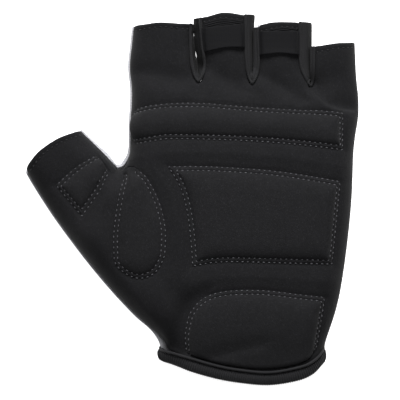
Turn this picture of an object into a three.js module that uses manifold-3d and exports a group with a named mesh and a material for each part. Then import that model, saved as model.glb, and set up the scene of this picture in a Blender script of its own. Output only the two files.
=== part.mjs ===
// A half-finger cycling glove for the left hand, lying on its back with the palm up.
// Sizes are in millimetres. X runs from the thumb to the little finger, Y from the cuff to the
// fingers and Z up. The group is placed so that its lowest middle point is the origin.

import * as THREE from 'three';
import { mergeVertices } from 'three/addons/utils/BufferGeometryUtils.js';
import Module from 'manifold-3d';

const wasm = await Module();
wasm.setup();

// Driving dimensions
const PALM_WIDTH = 104.5; // index side to little finger side
const HAND_LENGTH = 164; // palm panel, cuff edge to the middle finger's opening
const PALM_DEPTH = 25; // back to palm, outside, at the middle of the hand
const THUMB_REACH = 25; // crotch to the thumb's opening, along the thumb
const THUMB_MOUTH = 31; // width of the thumb's opening
const THUMB_TAPER = 2.8; // how far the thumb's inner side leans in by its opening
const THUMB_DEPTH = 18; // back to palm at the thumb's opening
const THUMB_THIN_REACH = 32; // length over which the thumb thins to that depth
const THUMB_EASE = 14; // how far from the crotch across the thumb that thinning is complete
const THUMB_SLANT = 0.5; // slope of the lines of equal depth across the thumb
const THUMB_ANGLE = 37; // degrees that the thumb leans from the fingers
const SUEDE = 1.8; // wall of the palm panel
const KNIT = 1.5; // wall of the back panel
const SEAM_GAP = 0.3; // between two pieces that are sewn together
const SEAM_SHARE = 0.42; // height of the side seam, as a share of the depth there
const EDGE_ROUND = 12; // how far in from the side seam the panels round over
const LEDGE = 0.8; // how far the back panel shows beside the palm on the thumb's side
const LEDGE_FADE = 0.2; // where that dies out, a share of PALM_WIDTH to each side of the palm's middle
const CUFF_FLARE = 2.4; // how much further it shows at the cuff's corner
const FLARE_REACH = 11; // how far from that corner the flare dies out
const CROTCH_ROLL = 1.8; // how far the back panel's roll shows in the thumb's crotch
const ROLL_REACH = 12; // how far from the crotch that roll dies out

// Finger gaps: each fourchette is a wall with a rounded seam, the bead, along its palm edge
const FOURCHETTE = 1.4; // wall of a fourchette
const BEAD = 2.4; // width and height of its bead
const BEAD_PROUD = 0.3; // how far the bead stands above the palm
const WALL_FOOT = 0.3; // how far its foot stays above the surface that the glove lies on
// Half of the bead's section from its neck to its top, as shares of half its width
const BEAD_PROFILE = [
  { out: 1, drop: 1.4 },
  { out: 1, drop: 0.6 },
  { out: 0.5, drop: 0 },
];
const BEAD_NECK = 1.9; // where the bead meets its wall, in the same shares
const EDGE_DROP = 2.0; // how far the palm panel rounds down beside a bead
const DROP_WIDTH = 5.0; // how far in from the bead that rounding starts

// Pads, tabs and cuff
const PAD_GAP = 0.4; // gap under a pad
const PAD_RISE = 2.2; // height of a pad's crown
const PAD_EDGE = 0.7; // thickness of a pad along its stitching
const TAB_THICK = 1.2; // thickness of a pull tab
const TAB_LIFT = 0.5; // gap under a pull tab
const TAB_LENGTH = 10.6; // pull tab, along the finger
const TAB_BOW = 0.8; // how far the middle of the tab's far edge bows towards the opening
const CUFF_BAND = 4.7; // width of the cuff's elastic band
const BAND_THICK = 2.8; // thickness of the cuff's band
const BAND_ROUND = 1; // rounding of the band's free edge
const PIPING = 1.3; // diameter of the piping above the band
const PIPING_SIDES = 6;
const CUFF_LIFT = PIPING + 2 * SEAM_GAP; // how far the back panel rises at the cuff, over the piping
const LIFT_REACH = 14; // how far from the cuff's edge it starts to rise

// Outlines. across is a share of PALM_WIDTH from the palm's middle, up a share of HAND_LENGTH. The
// sides run from the cuff's corners, or from the crotch, to the openings.
const CROTCH = { across: -0.547, up: 0.562 };
const CUFF_EDGE = [
  { across: -0.338, up: 0.066 },
  { across: -0.255, up: 0.044 },
  { across: -0.124, up: 0.019 },
  { across: -0.015, up: 0.006 },
  { across: 0.115, up: 0.0 },
  { across: 0.246, up: 0.015 },
  { across: 0.312, up: 0.036 },
  { across: 0.355, up: 0.064 },
];
const LITTLE_SIDE = [
  { across: 0.364, up: 0.095 },
  { across: 0.399, up: 0.16 },
  { across: 0.425, up: 0.23 },
  { across: 0.451, up: 0.341 },
  { across: 0.473, up: 0.479 },
  { across: 0.482, up: 0.618 },
  { across: 0.497, up: 0.687 },
  { across: 0.507, up: 0.735 },
  { across: 0.5, up: 0.785 },
  { across: 0.494, up: 0.84 },
];
const INDEX_SIDE = [
  { across: -0.522, up: 0.57 },
  { across: -0.506, up: 0.59 },
  { across: -0.495, up: 0.625 },
  { across: -0.495, up: 0.673 },
  { across: -0.489, up: 0.756 },
  { across: -0.489, up: 0.798 },
  { across: -0.5, up: 0.828 },
  { across: -0.491, up: 0.895 },
];
const PALM_SPLIT = [
  { across: -0.255, up: 0.152 },
  { across: -0.342, up: 0.271 },
  { across: -0.416, up: 0.391 },
  { across: -0.49, up: 0.493 },
];

// The thumb's sides: along is a share of the way from the cuff or the crotch to the opening, out a
// share of HAND_LENGTH outwards from the straight line between them.
const THUMB_BOW = [
  { along: 0.028, out: -0.009 },
  { along: 0.085, out: -0.006 },
  { along: 0.15, out: 0.003 },
  { along: 0.3, out: 0.014 },
  { along: 0.5, out: 0.019 },
  { along: 0.75, out: 0.016 },
  { along: 0.91, out: 0.007 },
];
const THUMB_INNER_BOW = [{ along: 0.3, out: -0.004 }];
const THUMB_TIP_BOW = [ // at the opening, where out is a share of THUMB_MOUTH
  { along: 0.08, out: 0.05 },
  { along: 0.35, out: 0.112 },
  { along: 0.67, out: 0.093 },
];

// Fingers: from and to are across shares of a stub's palm side; left, middle and right are up
// shares of its opening.
const [INDEX, MIDDLE, RING, LITTLE] = [0, 1, 2, 3];
const FINGERS = [
  { from: -0.482, to: -0.239, left: 0.964, middle: 0.972, right: 0.967 },
  { from: -0.174, to: 0.001, left: 0.985, middle: 1.0, right: 0.993 },
  { from: 0.069, to: 0.238, left: 0.966, middle: 0.974, right: 0.972 },
  { from: 0.313, to: 0.489, left: 0.905, middle: 0.914, right: 0.918 },
];
const OPENING_RUN = 0.03; // how far a finger's opening carries on level into the gap beside it

// Pull tabs: left and right are up shares of the ends of a tab's near edge.
const TABS = [
  { name: 'middle_pull_tab', finger: MIDDLE, left: 0.955, right: 0.967 },
  { name: 'ring_pull_tab', finger: RING, left: 0.946, right: 0.946 },
];

// Gaps between fingers: the middle line of each fourchette's wall, in across and up shares. left
// runs down its left arm, right up its right arm, and foot is the lowest point of the round between.
const GAPS = [
  {
    name: 'index_middle',
    left: [[-0.227, 0.968], [-0.227, 0.905], [-0.225, 0.864]],
    foot: [-0.198, 0.812],
    right: [[-0.172, 0.853], [-0.182, 0.895], [-0.19, 0.94], [-0.191, 0.986]],
  },
  {
    name: 'middle_ring',
    left: [[0.014, 0.995], [0.014, 0.916], [0.014, 0.857]],
    foot: [0.038, 0.806],
    right: [[0.061, 0.853], [0.058, 0.909], [0.056, 0.964]],
  },
  {
    name: 'ring_little',
    left: [[0.25, 0.974], [0.25, 0.916], [0.251, 0.871], [0.257, 0.836]],
    foot: [0.281, 0.799],
    right: [[0.3, 0.84], [0.301, 0.903]],
  },
];
const FOOT_ROUND = 1.8; // radius of that round
const FOOT_STEPS = 4; // points that each round is drawn through
const GAP_TURN = 16; // degrees that a wall may turn between two of its sections
const GAP_STEP = 9; // furthest distance between two of its sections

// Depth of the glove along the hand, as a share of PALM_DEPTH at each up share
const DEPTHS = [
  { up: 0.0, depth: 0.84 },
  { up: 0.15, depth: 0.95 },
  { up: 0.4, depth: 1.0 },
  { up: 0.62, depth: 0.99 },
  { up: 0.74, depth: 0.9 },
  { up: 0.82, depth: 0.76 },
  { up: 0.92, depth: 0.69 },
  { up: 1.0, depth: 0.67 },
];

// Folds and dents of the palm: a line between two points, sinking by depth, a share of PALM_DEPTH.
// below and above are how far it spreads to each side, as shares of PALM_WIDTH. Folds die out from
// FOLD_EDGE of the palm's height above the side seam down to the seam.
const FOLD_EDGE = 0.7;
const FOLDS = [
  // Crease from the ring finger's foot to the little finger's side
  { from: [0.31, 0.795], to: [0.49, 0.738], depth: 0.11, below: 0.03, above: 0.1 },
  // Soft valleys below the index, middle and ring fingers
  { from: [-0.42, 0.85], to: [-0.27, 0.82], depth: 0.045, below: 0.05, above: 0.07 },
  { from: [-0.15, 0.85], to: [-0.02, 0.798], depth: 0.05, below: 0.05, above: 0.06 },
  { from: [0.09, 0.83], to: [0.257, 0.765], depth: 0.055, below: 0.035, above: 0.06 },
  // Dent beside the heel pad
  { from: [-0.28, 0.07], to: [-0.26, 0.19], depth: 0.07, below: 0.05, above: 0.05 },
  // Bend at the thumb's root
  { from: [-0.69, 0.44], to: [-0.575, 0.545], depth: 0.06, below: 0.05, above: 0.05 },
];

// Pads, each bounded by four sides: left and right run between the ends of bottom and top. A side's
// points are across and up shares, and on the thumb shares of THUMB_MOUTH outwards and of
// THUMB_REACH upwards from the crotch.
const PADS = [
  {
    name: 'knuckle_pad',
    columns: 18,
    rows: 6,
    bottom: [[-0.488, 0.631], [-0.4, 0.64], [-0.32, 0.646], [-0.06, 0.643], [0.2, 0.632], [0.437, 0.614]],
    right: [[0.435, 0.67]],
    top: [[-0.486, 0.73], [-0.4, 0.744], [-0.233, 0.752], [-0.015, 0.741], [0.2, 0.732], [0.437, 0.725]],
    left: [[-0.488, 0.68]],
  },
  {
    name: 'palm_pad',
    columns: 9,
    rows: 8,
    bottom: [[-0.225, 0.294], [-0.13, 0.304], [-0.03, 0.306], [0.2, 0.302], [0.388, 0.299]],
    right: [[0.4, 0.37], [0.413, 0.457]],
    top: [[-0.335, 0.573], [-0.146, 0.573], [0.115, 0.562], [0.3, 0.545], [0.425, 0.531]],
    left: [[-0.235, 0.381], [-0.252, 0.457], [-0.284, 0.522]],
  },
  {
    name: 'heel_pad',
    columns: 11,
    rows: 6,
    bottom: [[-0.257, 0.056], [-0.124, 0.03], [0.0, 0.016], [0.115, 0.013], [0.24, 0.027], [0.322, 0.062]],
    right: [[0.342, 0.14]],
    top: [[-0.242, 0.166], [-0.19, 0.204], [-0.094, 0.228], [0.072, 0.232], [0.246, 0.22], [0.359, 0.212]],
    left: [[-0.26, 0.115]],
  },
  {
    name: 'thenar_pad',
    columns: 6,
    rows: 9,
    bottom: [[-0.566, 0.321], [-0.545, 0.288], [-0.46, 0.26], [-0.375, 0.28], [-0.338, 0.327]],
    right: [[-0.334, 0.39], [-0.35, 0.448], [-0.38, 0.5], [-0.425, 0.547]],
    top: [[-0.524, 0.556], [-0.5, 0.569], [-0.475, 0.57]],
    left: [[-0.566, 0.385], [-0.553, 0.455], [-0.537, 0.512]],
  },
  {
    name: 'thumb_pad',
    isOnThumb: true,
    columns: 7,
    rows: 6,
    bottom: [[0.837, -0.286], [0.427, -0.126], [0.106, 0.041]],
    right: [[0.104, 0.245]],
    top: [[0.875, 0.469], [0.461, 0.513], [0.099, 0.47]],
    left: [[0.86, 0.1]],
  },
];

// Grids of the panels
const SPLIT_SHARE = 0.21; // share of the cuff's edge that lies below the thumb
const HAND_TURN = 0.56; // share of the hand's rows that lie below the crotch
const THUMB_TURN = 0.76; // share of the thumb's rows that lie below the crotch
const ROUND_STEPS = 4; // columns across a rounded edge
const ROW_STEP = 9; // longest cell of both panels, whose rows end in the same points of the side seam
const PALM_COLUMN = 4.8; // widest cell of the palm panel
const BACK_COLUMN = 7; // widest cell of the back panel
const THUMB_COLUMN = 9; // widest cell of both below the thumb
const CUFF_ROW = 5; // width of the row of cells along the cuff
const EDGE_FINENESS = 0.6; // how much narrower a pad's cells get towards its edges

// Plan curves
const place = ({ across, up }) => new THREE.Vector2(across * PALM_WIDTH, up * HAND_LENGTH);
const placePair = ([across, up]) => place({ across, up });
const curveThrough = (start, rows, end) => new THREE.SplineCurve([start, ...rows.map(place), end]);
const mix = THREE.MathUtils.lerp;
const smooth = (value, low, high) => THREE.MathUtils.smoothstep(value, low, high);

const crotch = place(CROTCH);
const cuffEdge = new THREE.SplineCurve(CUFF_EDGE.map(place));
const cuffCorner = cuffEdge.points[0];
const lean = THREE.MathUtils.degToRad(THUMB_ANGLE);
const thumbAxis = new THREE.Vector2(-Math.sin(lean), Math.cos(lean));
const thumbAcross = new THREE.Vector2(Math.cos(lean), Math.sin(lean));
const onThumb = (across, up) =>
  crotch.clone().addScaledVector(thumbAcross, -across).addScaledVector(thumbAxis, up);
const thumbInner = onThumb(THUMB_TAPER, THUMB_REACH);
const thumbOuter = thumbInner.clone().addScaledVector(thumbAcross, -THUMB_MOUTH);

// A curve between two points that bows away from the straight line by a table of shares.
function bowedCurve(start, end, table, size) {
  const line = end.clone().sub(start);
  const outward = new THREE.Vector2(-line.y, line.x).normalize();
  const inside = table.map(({ along, out }) =>
    start.clone().addScaledVector(line, along).addScaledVector(outward, out * size));
  return new THREE.SplineCurve([start, ...inside, end]);
}

const indexOpening = place({ across: FINGERS[INDEX].from, up: FINGERS[INDEX].left });
const littleOpening = place({ across: FINGERS[LITTLE].to, up: FINGERS[LITTLE].right });
const littleSide = curveThrough(cuffEdge.getPointAt(1), LITTLE_SIDE, littleOpening);
const indexSide = curveThrough(crotch, INDEX_SIDE, indexOpening);
const palmSplit = curveThrough(cuffEdge.getPointAt(SPLIT_SHARE), PALM_SPLIT, crotch);
const thumbOuterSide = bowedCurve(cuffCorner, thumbOuter, THUMB_BOW, HAND_LENGTH);
const thumbInnerSide = bowedCurve(crotch, thumbInner, THUMB_INNER_BOW, HAND_LENGTH);
const thumbTip = bowedCurve(thumbOuter, thumbInner, THUMB_TIP_BOW, THUMB_MOUTH);

// Side seams, each run so that the glove is on its left. The two that reach the cuff carry on
// straight past it, so that the rounding keeps its direction at the cuff's corners.
const SIDE_SAMPLES = 60;
const pastCuff = (curve) => curve.getPointAt(0).addScaledVector(curve.getTangentAt(0), -PALM_DEPTH);
const sideSeams = [
  [...thumbOuterSide.getSpacedPoints(SIDE_SAMPLES).reverse(), pastCuff(thumbOuterSide)],
  [
    ...indexSide.getSpacedPoints(SIDE_SAMPLES).reverse(),
    ...thumbInnerSide.getSpacedPoints(SIDE_SAMPLES).slice(1),
  ],
  [pastCuff(littleSide), ...littleSide.getSpacedPoints(SIDE_SAMPLES)],
];

// Distance from a plan point to a line of points, the way from the line to it, and the line's run.
function distanceToLine(point, line) {
  const best = { distance: Infinity };
  for (let i = 1; i < line.length; i += 1) {
    const run = line[i].clone().sub(line[i - 1]);
    const offset = point.clone().sub(line[i - 1]);
    const share = THREE.MathUtils.clamp(offset.dot(run) / run.lengthSq(), 0, 1);
    offset.addScaledVector(run, -share);
    if (offset.length() < best.distance - 1e-6) {
      Object.assign(best, { distance: offset.length(), offset, run });
    }
  }
  return best;
}

// Distance to the nearest side seam, and the plan direction that leads away from it into the glove.
function nearestSeam(point) {
  const found = sideSeams.map((seam) => distanceToLine(point, seam));
  const { distance, offset, run } = found.sort((a, b) => a.distance - b.distance)[0];
  const isOnSeam = distance < 0.05;
  const inward = isOnSeam ? new THREE.Vector2(-run.y, run.x).normalize() : offset.divideScalar(distance);
  return { distance, inward };
}

// Finger gaps in plan: sections of each wall, closer together where it turns. A section has its
// point and the direction that leads out of the gap.
const WALL_SAMPLES = 120;
const gaps = GAPS.map(({ name, left, foot, right }) => {
  const { x: middle, y: low } = placePair(foot);
  const round = new THREE.Path().absarc(middle, low + FOOT_ROUND, FOOT_ROUND, Math.PI, 2 * Math.PI);
  const wall = [...left.map(placePair), ...round.getPoints(FOOT_STEPS), ...right.map(placePair)];
  const curve = new THREE.CatmullRomCurve3(wall.map(({ x, y }) => new THREE.Vector3(x, y, 0)));
  const runs = curve.getSpacedPoints(WALL_SAMPLES).map(({ x, y }, i) => {
    const run = curve.getTangentAt(i / WALL_SAMPLES);
    return { at: new THREE.Vector2(x, y), out: new THREE.Vector2(run.y, -run.x) };
  });
  const sections = [runs[0]];
  for (const run of runs.slice(1, -1)) {
    const last = sections[sections.length - 1];
    const turned = THREE.MathUtils.radToDeg(last.out.angleTo(run.out));
    if (turned > GAP_TURN || run.at.distanceTo(last.at) > GAP_STEP) {
      sections.push(run);
    }
  }
  return { name, sections: [...sections, runs[WALL_SAMPLES]] };
});

// A gap's outline, set out from the middle line of its walls and carried on past the openings.
function gapOutline({ sections }, margin) {
  const outline = sections.map(({ at, out }) => at.clone().addScaledVector(out, margin));
  const past = HAND_LENGTH + PALM_DEPTH;
  return [new THREE.Vector2(outline[0].x, past), ...outline, new THREE.Vector2(outline.at(-1).x, past)];
}

// Distance from a plan point to the middle line of the nearest fourchette's wall.
const wallLines = gaps.map((gap) => gapOutline(gap, 0));
function distanceToWall(point) {
  return Math.min(...wallLines.map((line) => distanceToLine(point, line).distance));
}

// Value of a table's column at an up share, eased between its rows.
function tableAt(table, up, column) {
  const next = table.findIndex((row) => row.up > up);
  if (next <= 0) {
    return table.at(next)[column];
  }
  const [a, b] = [table[next - 1], table[next]];
  return mix(a[column], b[column], smooth(up, a.up, b.up));
}

// Outside depth of the glove, back to palm, before its folds and pads.
function depthAt(point) {
  const hand = PALM_DEPTH * tableAt(DEPTHS, point.y / HAND_LENGTH, 'depth');
  const out = point.clone().sub(crotch);
  const along = out.dot(thumbAxis) - out.dot(thumbAcross) * THUMB_SLANT;
  const isThumb = smooth(-out.x, 0, THUMB_EASE);
  return mix(hand, THUMB_DEPTH, smooth(along, THUMB_REACH - THUMB_THIN_REACH, THUMB_REACH) * isThumb);
}

// How far the folds sink the palm at a plan point.
function foldDepth(point) {
  let sunk = 0;
  for (const fold of FOLDS) {
    const start = placePair(fold.from);
    const run = placePair(fold.to).sub(start);
    const offset = point.clone().sub(start);
    const share = THREE.MathUtils.clamp(offset.dot(run) / run.lengthSq(), 0, 1);
    const isAbove = run.x * offset.y - run.y * offset.x > 0;
    const reach = (isAbove ? fold.above : fold.below) * PALM_WIDTH;
    const apart = offset.addScaledVector(run, -share).length() / reach;
    sunk += fold.depth * PALM_DEPTH * Math.exp(-apart * apart);
  }
  return sunk;
}

// How far the palm rounds down beside the beads of the finger gaps.
function edgeDrop(point) {
  const inwards = THREE.MathUtils.clamp((distanceToWall(point) - BEAD / 2) / DROP_WIDTH, 0, 1);
  return EDGE_DROP * (1 - Math.sqrt(1 - (1 - inwards) ** 2));
}

// A point of one panel above a plan point, set in from its outer face. The face is a quarter
// ellipse within EDGE_ROUND of a side seam and level beyond it.
function panelPoint(point, inset, rise, direction, seamOffset, shift = 0) {
  const { distance, inward } = nearestSeam(point);
  const level = 1 - Math.min(distance / EDGE_ROUND, 1);
  const steep = Math.sqrt(1 - level * level);
  const length = Math.hypot(level * rise, steep * EDGE_ROUND);
  const flat = (inset * level * rise) / length - shift * level;
  return new THREE.Vector3(
    point.x + inward.x * flat,
    point.y + inward.y * flat,
    direction * (rise * steep - (inset * steep * EDGE_ROUND) / length) + seamOffset,
  );
}

// A point of the palm panel above a plan point, set in from its outer face. isPlain leaves out its
// folds and its drops beside the beads.
function palmPoint(point, inset, isPlain = false) {
  const depth = depthAt(point);
  const seam = SEAM_SHARE * depth;
  const found = panelPoint(point, inset, depth - seam - SEAM_GAP / 2, 1, seam + SEAM_GAP / 2);
  const level = (found.z - seam) / (depth - seam);
  const sunk = isPlain ? 0 : foldDepth(point) + edgeDrop(point);
  found.z -= sunk * smooth(level, 0, FOLD_EDGE);
  return found;
}

// How far the back panel shows past the palm panel's edge.
function ledgeAt(point) {
  const isThumbSide = smooth(-point.x / PALM_WIDTH, -LEDGE_FADE, LEDGE_FADE);
  const flare = CUFF_FLARE * (1 - smooth(point.distanceTo(cuffCorner), 0, FLARE_REACH));
  const roll = CROTCH_ROLL * (1 - smooth(point.distanceTo(crotch), 0, ROLL_REACH));
  return isThumbSide * (LEDGE + flare + roll);
}

// A point of the back panel, inset into its wall from the outer face that the glove lies on. By the
// cuff the panel rises enough for the piping to pass under it.
const cuffSamples = cuffEdge.getSpacedPoints(SIDE_SAMPLES);
function backPoint(point, inset) {
  const toCuff = Math.min(...cuffSamples.map((sample) => sample.distanceTo(point)));
  const lift = CUFF_LIFT * (1 - smooth(toCuff, 0, LIFT_REACH));
  const seam = SEAM_SHARE * depthAt(point) - SEAM_GAP / 2;
  return panelPoint(point, inset, seam - lift, -1, seam, ledgeAt(point));
}

// Plan grids
const roundShares = Array.from({ length: ROUND_STEPS + 1 }, (_, i) =>
  1 - Math.cos((i * Math.PI) / 2 / ROUND_STEPS));

// Positions from 0 to size: fine near the ends named round, then steps no wider than step.
function spacing(size, step, roundStart, roundEnd) {
  const reach = Math.min(EDGE_ROUND, size / 2);
  const start = roundStart ? roundShares.map((share) => share * reach) : [0];
  const end = roundEnd ? roundShares.map((share) => size - share * reach).reverse() : [size];
  const from = start.at(-1);
  const count = Math.max(Math.round((end[0] - from) / step), 1);
  const between = Array.from({ length: count - 1 }, (_, i) => mix(from, end[0], (i + 1) / count));
  return [...new Set([...start, ...between, ...end])];
}

// A four-sided patch blended between its side curves, each a function of a share from 0 to 1.
function blendedPatch(left, right, bottom, top) {
  const corners = [bottom(0), bottom(1), top(0), top(1)];
  return (u, v) => {
    const [l, r, b, t] = [left(v), right(v), bottom(u), top(u)];
    const blend = (key) =>
      mix(l[key], r[key], u) + mix(b[key], t[key], v)
      - mix(mix(corners[0][key], corners[1][key], u), mix(corners[2][key], corners[3][key], u), v);
    return new THREE.Vector2(blend('x'), blend('y'));
  };
}

// A grid of plan quads with shared corners.
class PlanGrid {
  constructor() {
    this.points = [];
    this.quads = [];
    this.known = new Map();
  }

  index(point) {
    const key = `${Math.round(point.x * 1e4)},${Math.round(point.y * 1e4)}`;
    if (!this.known.has(key)) {
      this.known.set(key, this.points.length);
      this.points.push(point);
    }
    return this.known.get(key);
  }

  addPatch(patch, us, vs) {
    const rows = vs.map((v) => us.map((u) => this.index(patch(u, v))));
    for (let j = 1; j < vs.length; j += 1) {
      for (let i = 1; i < us.length; i += 1) {
        this.quads.push([rows[j - 1][i - 1], rows[j - 1][i], rows[j][i], rows[j][i - 1]]);
      }
    }
    return this;
  }
}

// Where a row's share of the palm split, and then of the side beyond the crotch, lies.
const joinedSide = (before, after, turn) => (v) =>
  (v <= turn ? before.getPointAt(v / turn) : after.getPointAt((v - turn) / (1 - turn)));

// Up share of the openings' edge at an across share. Each finger's edge carries on level into the
// gaps beside it.
function openingUp(across) {
  const rows = FINGERS.flatMap(({ from, to, left, middle, right }) => [
    { across: from - OPENING_RUN, up: left },
    { across: from, up: left },
    { across: (from + to) / 2, up: middle },
    { across: to, up: right },
    { across: to + OPENING_RUN, up: right },
  ]);
  const next = Math.min(Math.max(rows.findIndex((row) => row.across >= across), 1), rows.length - 1);
  const [a, b] = [rows[next - 1], rows[next]];
  return mix(a.up, b.up, (across - a.across) / (b.across - a.across));
}

// Columns of a panel: shares across the hand and across the thumb.
function panelColumns(columnStep) {
  const width = PALM_WIDTH * (FINGERS[LITTLE].to - FINGERS[INDEX].from);
  return {
    hand: spacing(width, columnStep, true, true).map((x) => x / width),
    thumb: spacing(THUMB_MOUTH, THUMB_COLUMN, true, true).map((x) => x / THUMB_MOUTH),
  };
}

// The whole plan of a panel, as two streams of cells that part at the crotch: one runs from the
// cuff into the thumb and the other into the fingers.
function panelGrid(columnStep) {
  const splitLength = palmSplit.getLength();
  const beyondCuff = spacing(splitLength - CUFF_ROW, ROW_STEP, false, true);
  const below = [0, ...beyondCuff.map((length) => (CUFF_ROW + length) / splitLength)];
  const indexLength = indexSide.getLength();
  const above = spacing(indexLength, ROW_STEP, true, false).map((length) => length / indexLength);
  const thumbLength = thumbInnerSide.getLength();
  const thumbRows = spacing(thumbLength, ROW_STEP, false, false).map((length) => length / thumbLength);
  const rowShares = (turn, beyond) => [
    ...below.map((share) => share * turn),
    ...beyond.slice(1).map((share) => turn + share * (1 - turn)),
  ];

  const [first, last] = [FINGERS[INDEX].from, FINGERS[LITTLE].to];
  const hand = blendedPatch(
    joinedSide(palmSplit, indexSide, HAND_TURN),
    (v) => littleSide.getPointAt(v),
    (u) => cuffEdge.getPointAt(mix(SPLIT_SHARE, 1, u)),
    (u) => place({ across: mix(first, last, u), up: openingUp(mix(first, last, u)) }),
  );
  const thumb = blendedPatch(
    (v) => thumbOuterSide.getPointAt(v),
    joinedSide(palmSplit, thumbInnerSide, THUMB_TURN),
    (u) => cuffEdge.getPointAt(u * SPLIT_SHARE),
    (u) => thumbTip.getPointAt(u),
  );
  const columns = panelColumns(columnStep);
  return new PlanGrid()
    .addPatch(hand, columns.hand, rowShares(HAND_TURN, above))
    .addPatch(thumb, columns.thumb, rowShares(THUMB_TURN, thumbRows));
}

// Solids
// A geometry from points and triangles, turned the right way out.
function closedGeometry(points, triangles) {
  const volume = triangles.reduce((sum, [a, b, c]) =>
    sum + points[a].dot(points[b].clone().cross(points[c])), 0);
  const facing = volume < 0 ? triangles.map(([a, b, c]) => [a, c, b]) : triangles;
  const geometry = new THREE.BufferGeometry().setFromPoints(points);
  geometry.setIndex(facing.flat());
  return geometry;
}

// A plan grid as a solid sheet between an upper and a lower face.
function sheet(grid, upper, lower) {
  const count = grid.points.length;
  const points = [...grid.points.map(upper), ...grid.points.map(lower)];
  const triangles = [];
  const edges = new Map();
  for (const [a, b, c, d] of grid.quads) {
    const across = (from, to) => grid.points[from].distanceTo(grid.points[to]);
    const halves = across(a, c) < across(b, d) ? [[a, b, c], [a, c, d]] : [[a, b, d], [b, c, d]];
    for (const [i, j, k] of halves) {
      triangles.push([i, j, k], [i + count, k + count, j + count]);
    }
    for (const [from, to] of [[a, b], [b, c], [c, d], [d, a]]) {
      if (!edges.delete(`${to},${from}`)) {
        edges.set(`${from},${to}`, [from, to]);
      }
    }
  }
  for (const [from, to] of edges.values()) {
    triangles.push([from, from + count, to + count], [from, to + count, to]);
  }
  return closedGeometry(points, triangles);
}

// A solid through rings of points, closed on itself or capped at both ends.
function sweep(rings, isLoop, capTriangles = []) {
  const size = rings[0].length;
  const triangles = [];
  const spans = isLoop ? rings.length : rings.length - 1;
  for (let i = 0; i < spans; i += 1) {
    const [near, far] = [i * size, ((i + 1) % rings.length) * size];
    for (let j = 0; j < size; j += 1) {
      const next = (j + 1) % size;
      triangles.push([near + j, near + next, far + next], [near + j, far + next, far + j]);
    }
  }
  const last = (rings.length - 1) * size;
  for (const [a, b, c] of isLoop ? [] : capTriangles) {
    triangles.push([a, c, b], [last + a, last + b, last + c]);
  }
  return closedGeometry(rings.flat(), triangles);
}

function toSolid(geometry) {
  const bare = geometry.clone();
  bare.deleteAttribute('normal');
  bare.deleteAttribute('uv');
  const merged = mergeVertices(bare, 1e-4);
  return new wasm.Manifold(new wasm.Mesh({
    numProp: 3,
    vertProperties: new Float32Array(merged.attributes.position.array),
    triVerts: new Uint32Array(merged.index.array),
  }));
}

function toGeometry(solid) {
  const mesh = solid.getMesh();
  const geometry = new THREE.BufferGeometry();
  geometry.setAttribute('position', new THREE.BufferAttribute(mesh.vertProperties, 3));
  geometry.setIndex(new THREE.BufferAttribute(mesh.triVerts, 1));
  return geometry;
}

// The space that a finger gap takes out of a panel.
function gapCutter(gap, margin) {
  const shape = new THREE.Shape(gapOutline(gap, margin));
  const cutter = new THREE.ExtrudeGeometry(shape, { depth: 3 * PALM_DEPTH, bevelEnabled: false });
  return toSolid(cutter.translate(0, 0, -PALM_DEPTH));
}

function withGaps(panel, margin) {
  return toGeometry(gaps.reduce((solid, gap) => solid.subtract(gapCutter(gap, margin)), toSolid(panel)));
}

function palmPanel() {
  const panel = sheet(panelGrid(PALM_COLUMN), (p) => palmPoint(p, 0), (p) => palmPoint(p, SUEDE));
  return withGaps(panel, BEAD / 2 + SEAM_GAP);
}

function backPanel() {
  const panel = sheet(panelGrid(BACK_COLUMN), (p) => backPoint(p, KNIT), (p) => backPoint(p, 0));
  return withGaps(panel, FOURCHETTE / 2 + SEAM_GAP);
}

// A U-shaped wall between two fingers, thin below and with a bead along its upper edge.
function fourchette({ sections }) {
  const [wall, bead] = [FOURCHETTE / 2, BEAD / 2];
  const half = [
    { out: wall, rise: -BEAD_NECK * bead },
    ...BEAD_PROFILE.map(({ out, drop }) => ({ out: out * bead, rise: -drop * bead })),
  ];
  const mirrored = half.map(({ out, rise }) => ({ out: -out, rise })).reverse();
  const profile = [{ out: -wall, rise: null }, { out: wall, rise: null }, ...half, ...mirrored];
  const rings = sections.map(({ at, out: outward }) => {
    const top = palmPoint(at, 0, true).z - foldDepth(at) + BEAD_PROUD;
    return profile.map(({ out, rise }) => {
      const { x, y } = at.clone().addScaledVector(outward, out);
      return new THREE.Vector3(x, y, rise === null ? WALL_FOOT : top + rise);
    });
  });
  const flat = profile.map(({ out, rise }) => new THREE.Vector2(out, rise === null ? -PALM_DEPTH : rise));
  return sweep(rings, false, THREE.ShapeUtils.triangulateShape(flat, []));
}

// A piece that lies on the palm, between two heights above the palm's face.
function overlay({ left, right, bottom, top, columns, rows }, under, over) {
  const side = (curve) => (share) => curve.getPointAt(share);
  const patch = blendedPatch(side(left), side(right), side(bottom), side(top));
  const shares = (count) => Array.from({ length: count + 1 }, (_, i) =>
    mix(i / count, (1 - Math.cos((i * Math.PI) / count)) / 2, EDGE_FINENESS));
  const crowns = new Map();
  const grid = new PlanGrid().addPatch((u, v) => {
    const at = patch(u, v);
    crowns.set(at, Math.sqrt((1 - (2 * u - 1) ** 4) * (1 - (2 * v - 1) ** 4)));
    return at;
  }, shares(columns), shares(rows));
  return sheet(grid, (p) => palmPoint(p, -over(crowns.get(p))), (p) => palmPoint(p, -under));
}

function pad(row) {
  const point = ([across, up]) =>
    (row.isOnThumb ? onThumb(across * THUMB_MOUTH, up * THUMB_REACH) : placePair([across, up]));
  const side = (pairs) => new THREE.SplineCurve(pairs.map(point));
  const height = (crown) => PAD_GAP + mix(PAD_EDGE, PAD_RISE, crown);
  return overlay({
    bottom: side(row.bottom),
    right: side([row.bottom.at(-1), ...row.right, row.top.at(-1)]),
    top: side(row.top),
    left: side([row.bottom[0], ...row.left, row.top[0]]),
    columns: row.columns,
    rows: row.rows,
  }, PAD_GAP, height);
}

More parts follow.
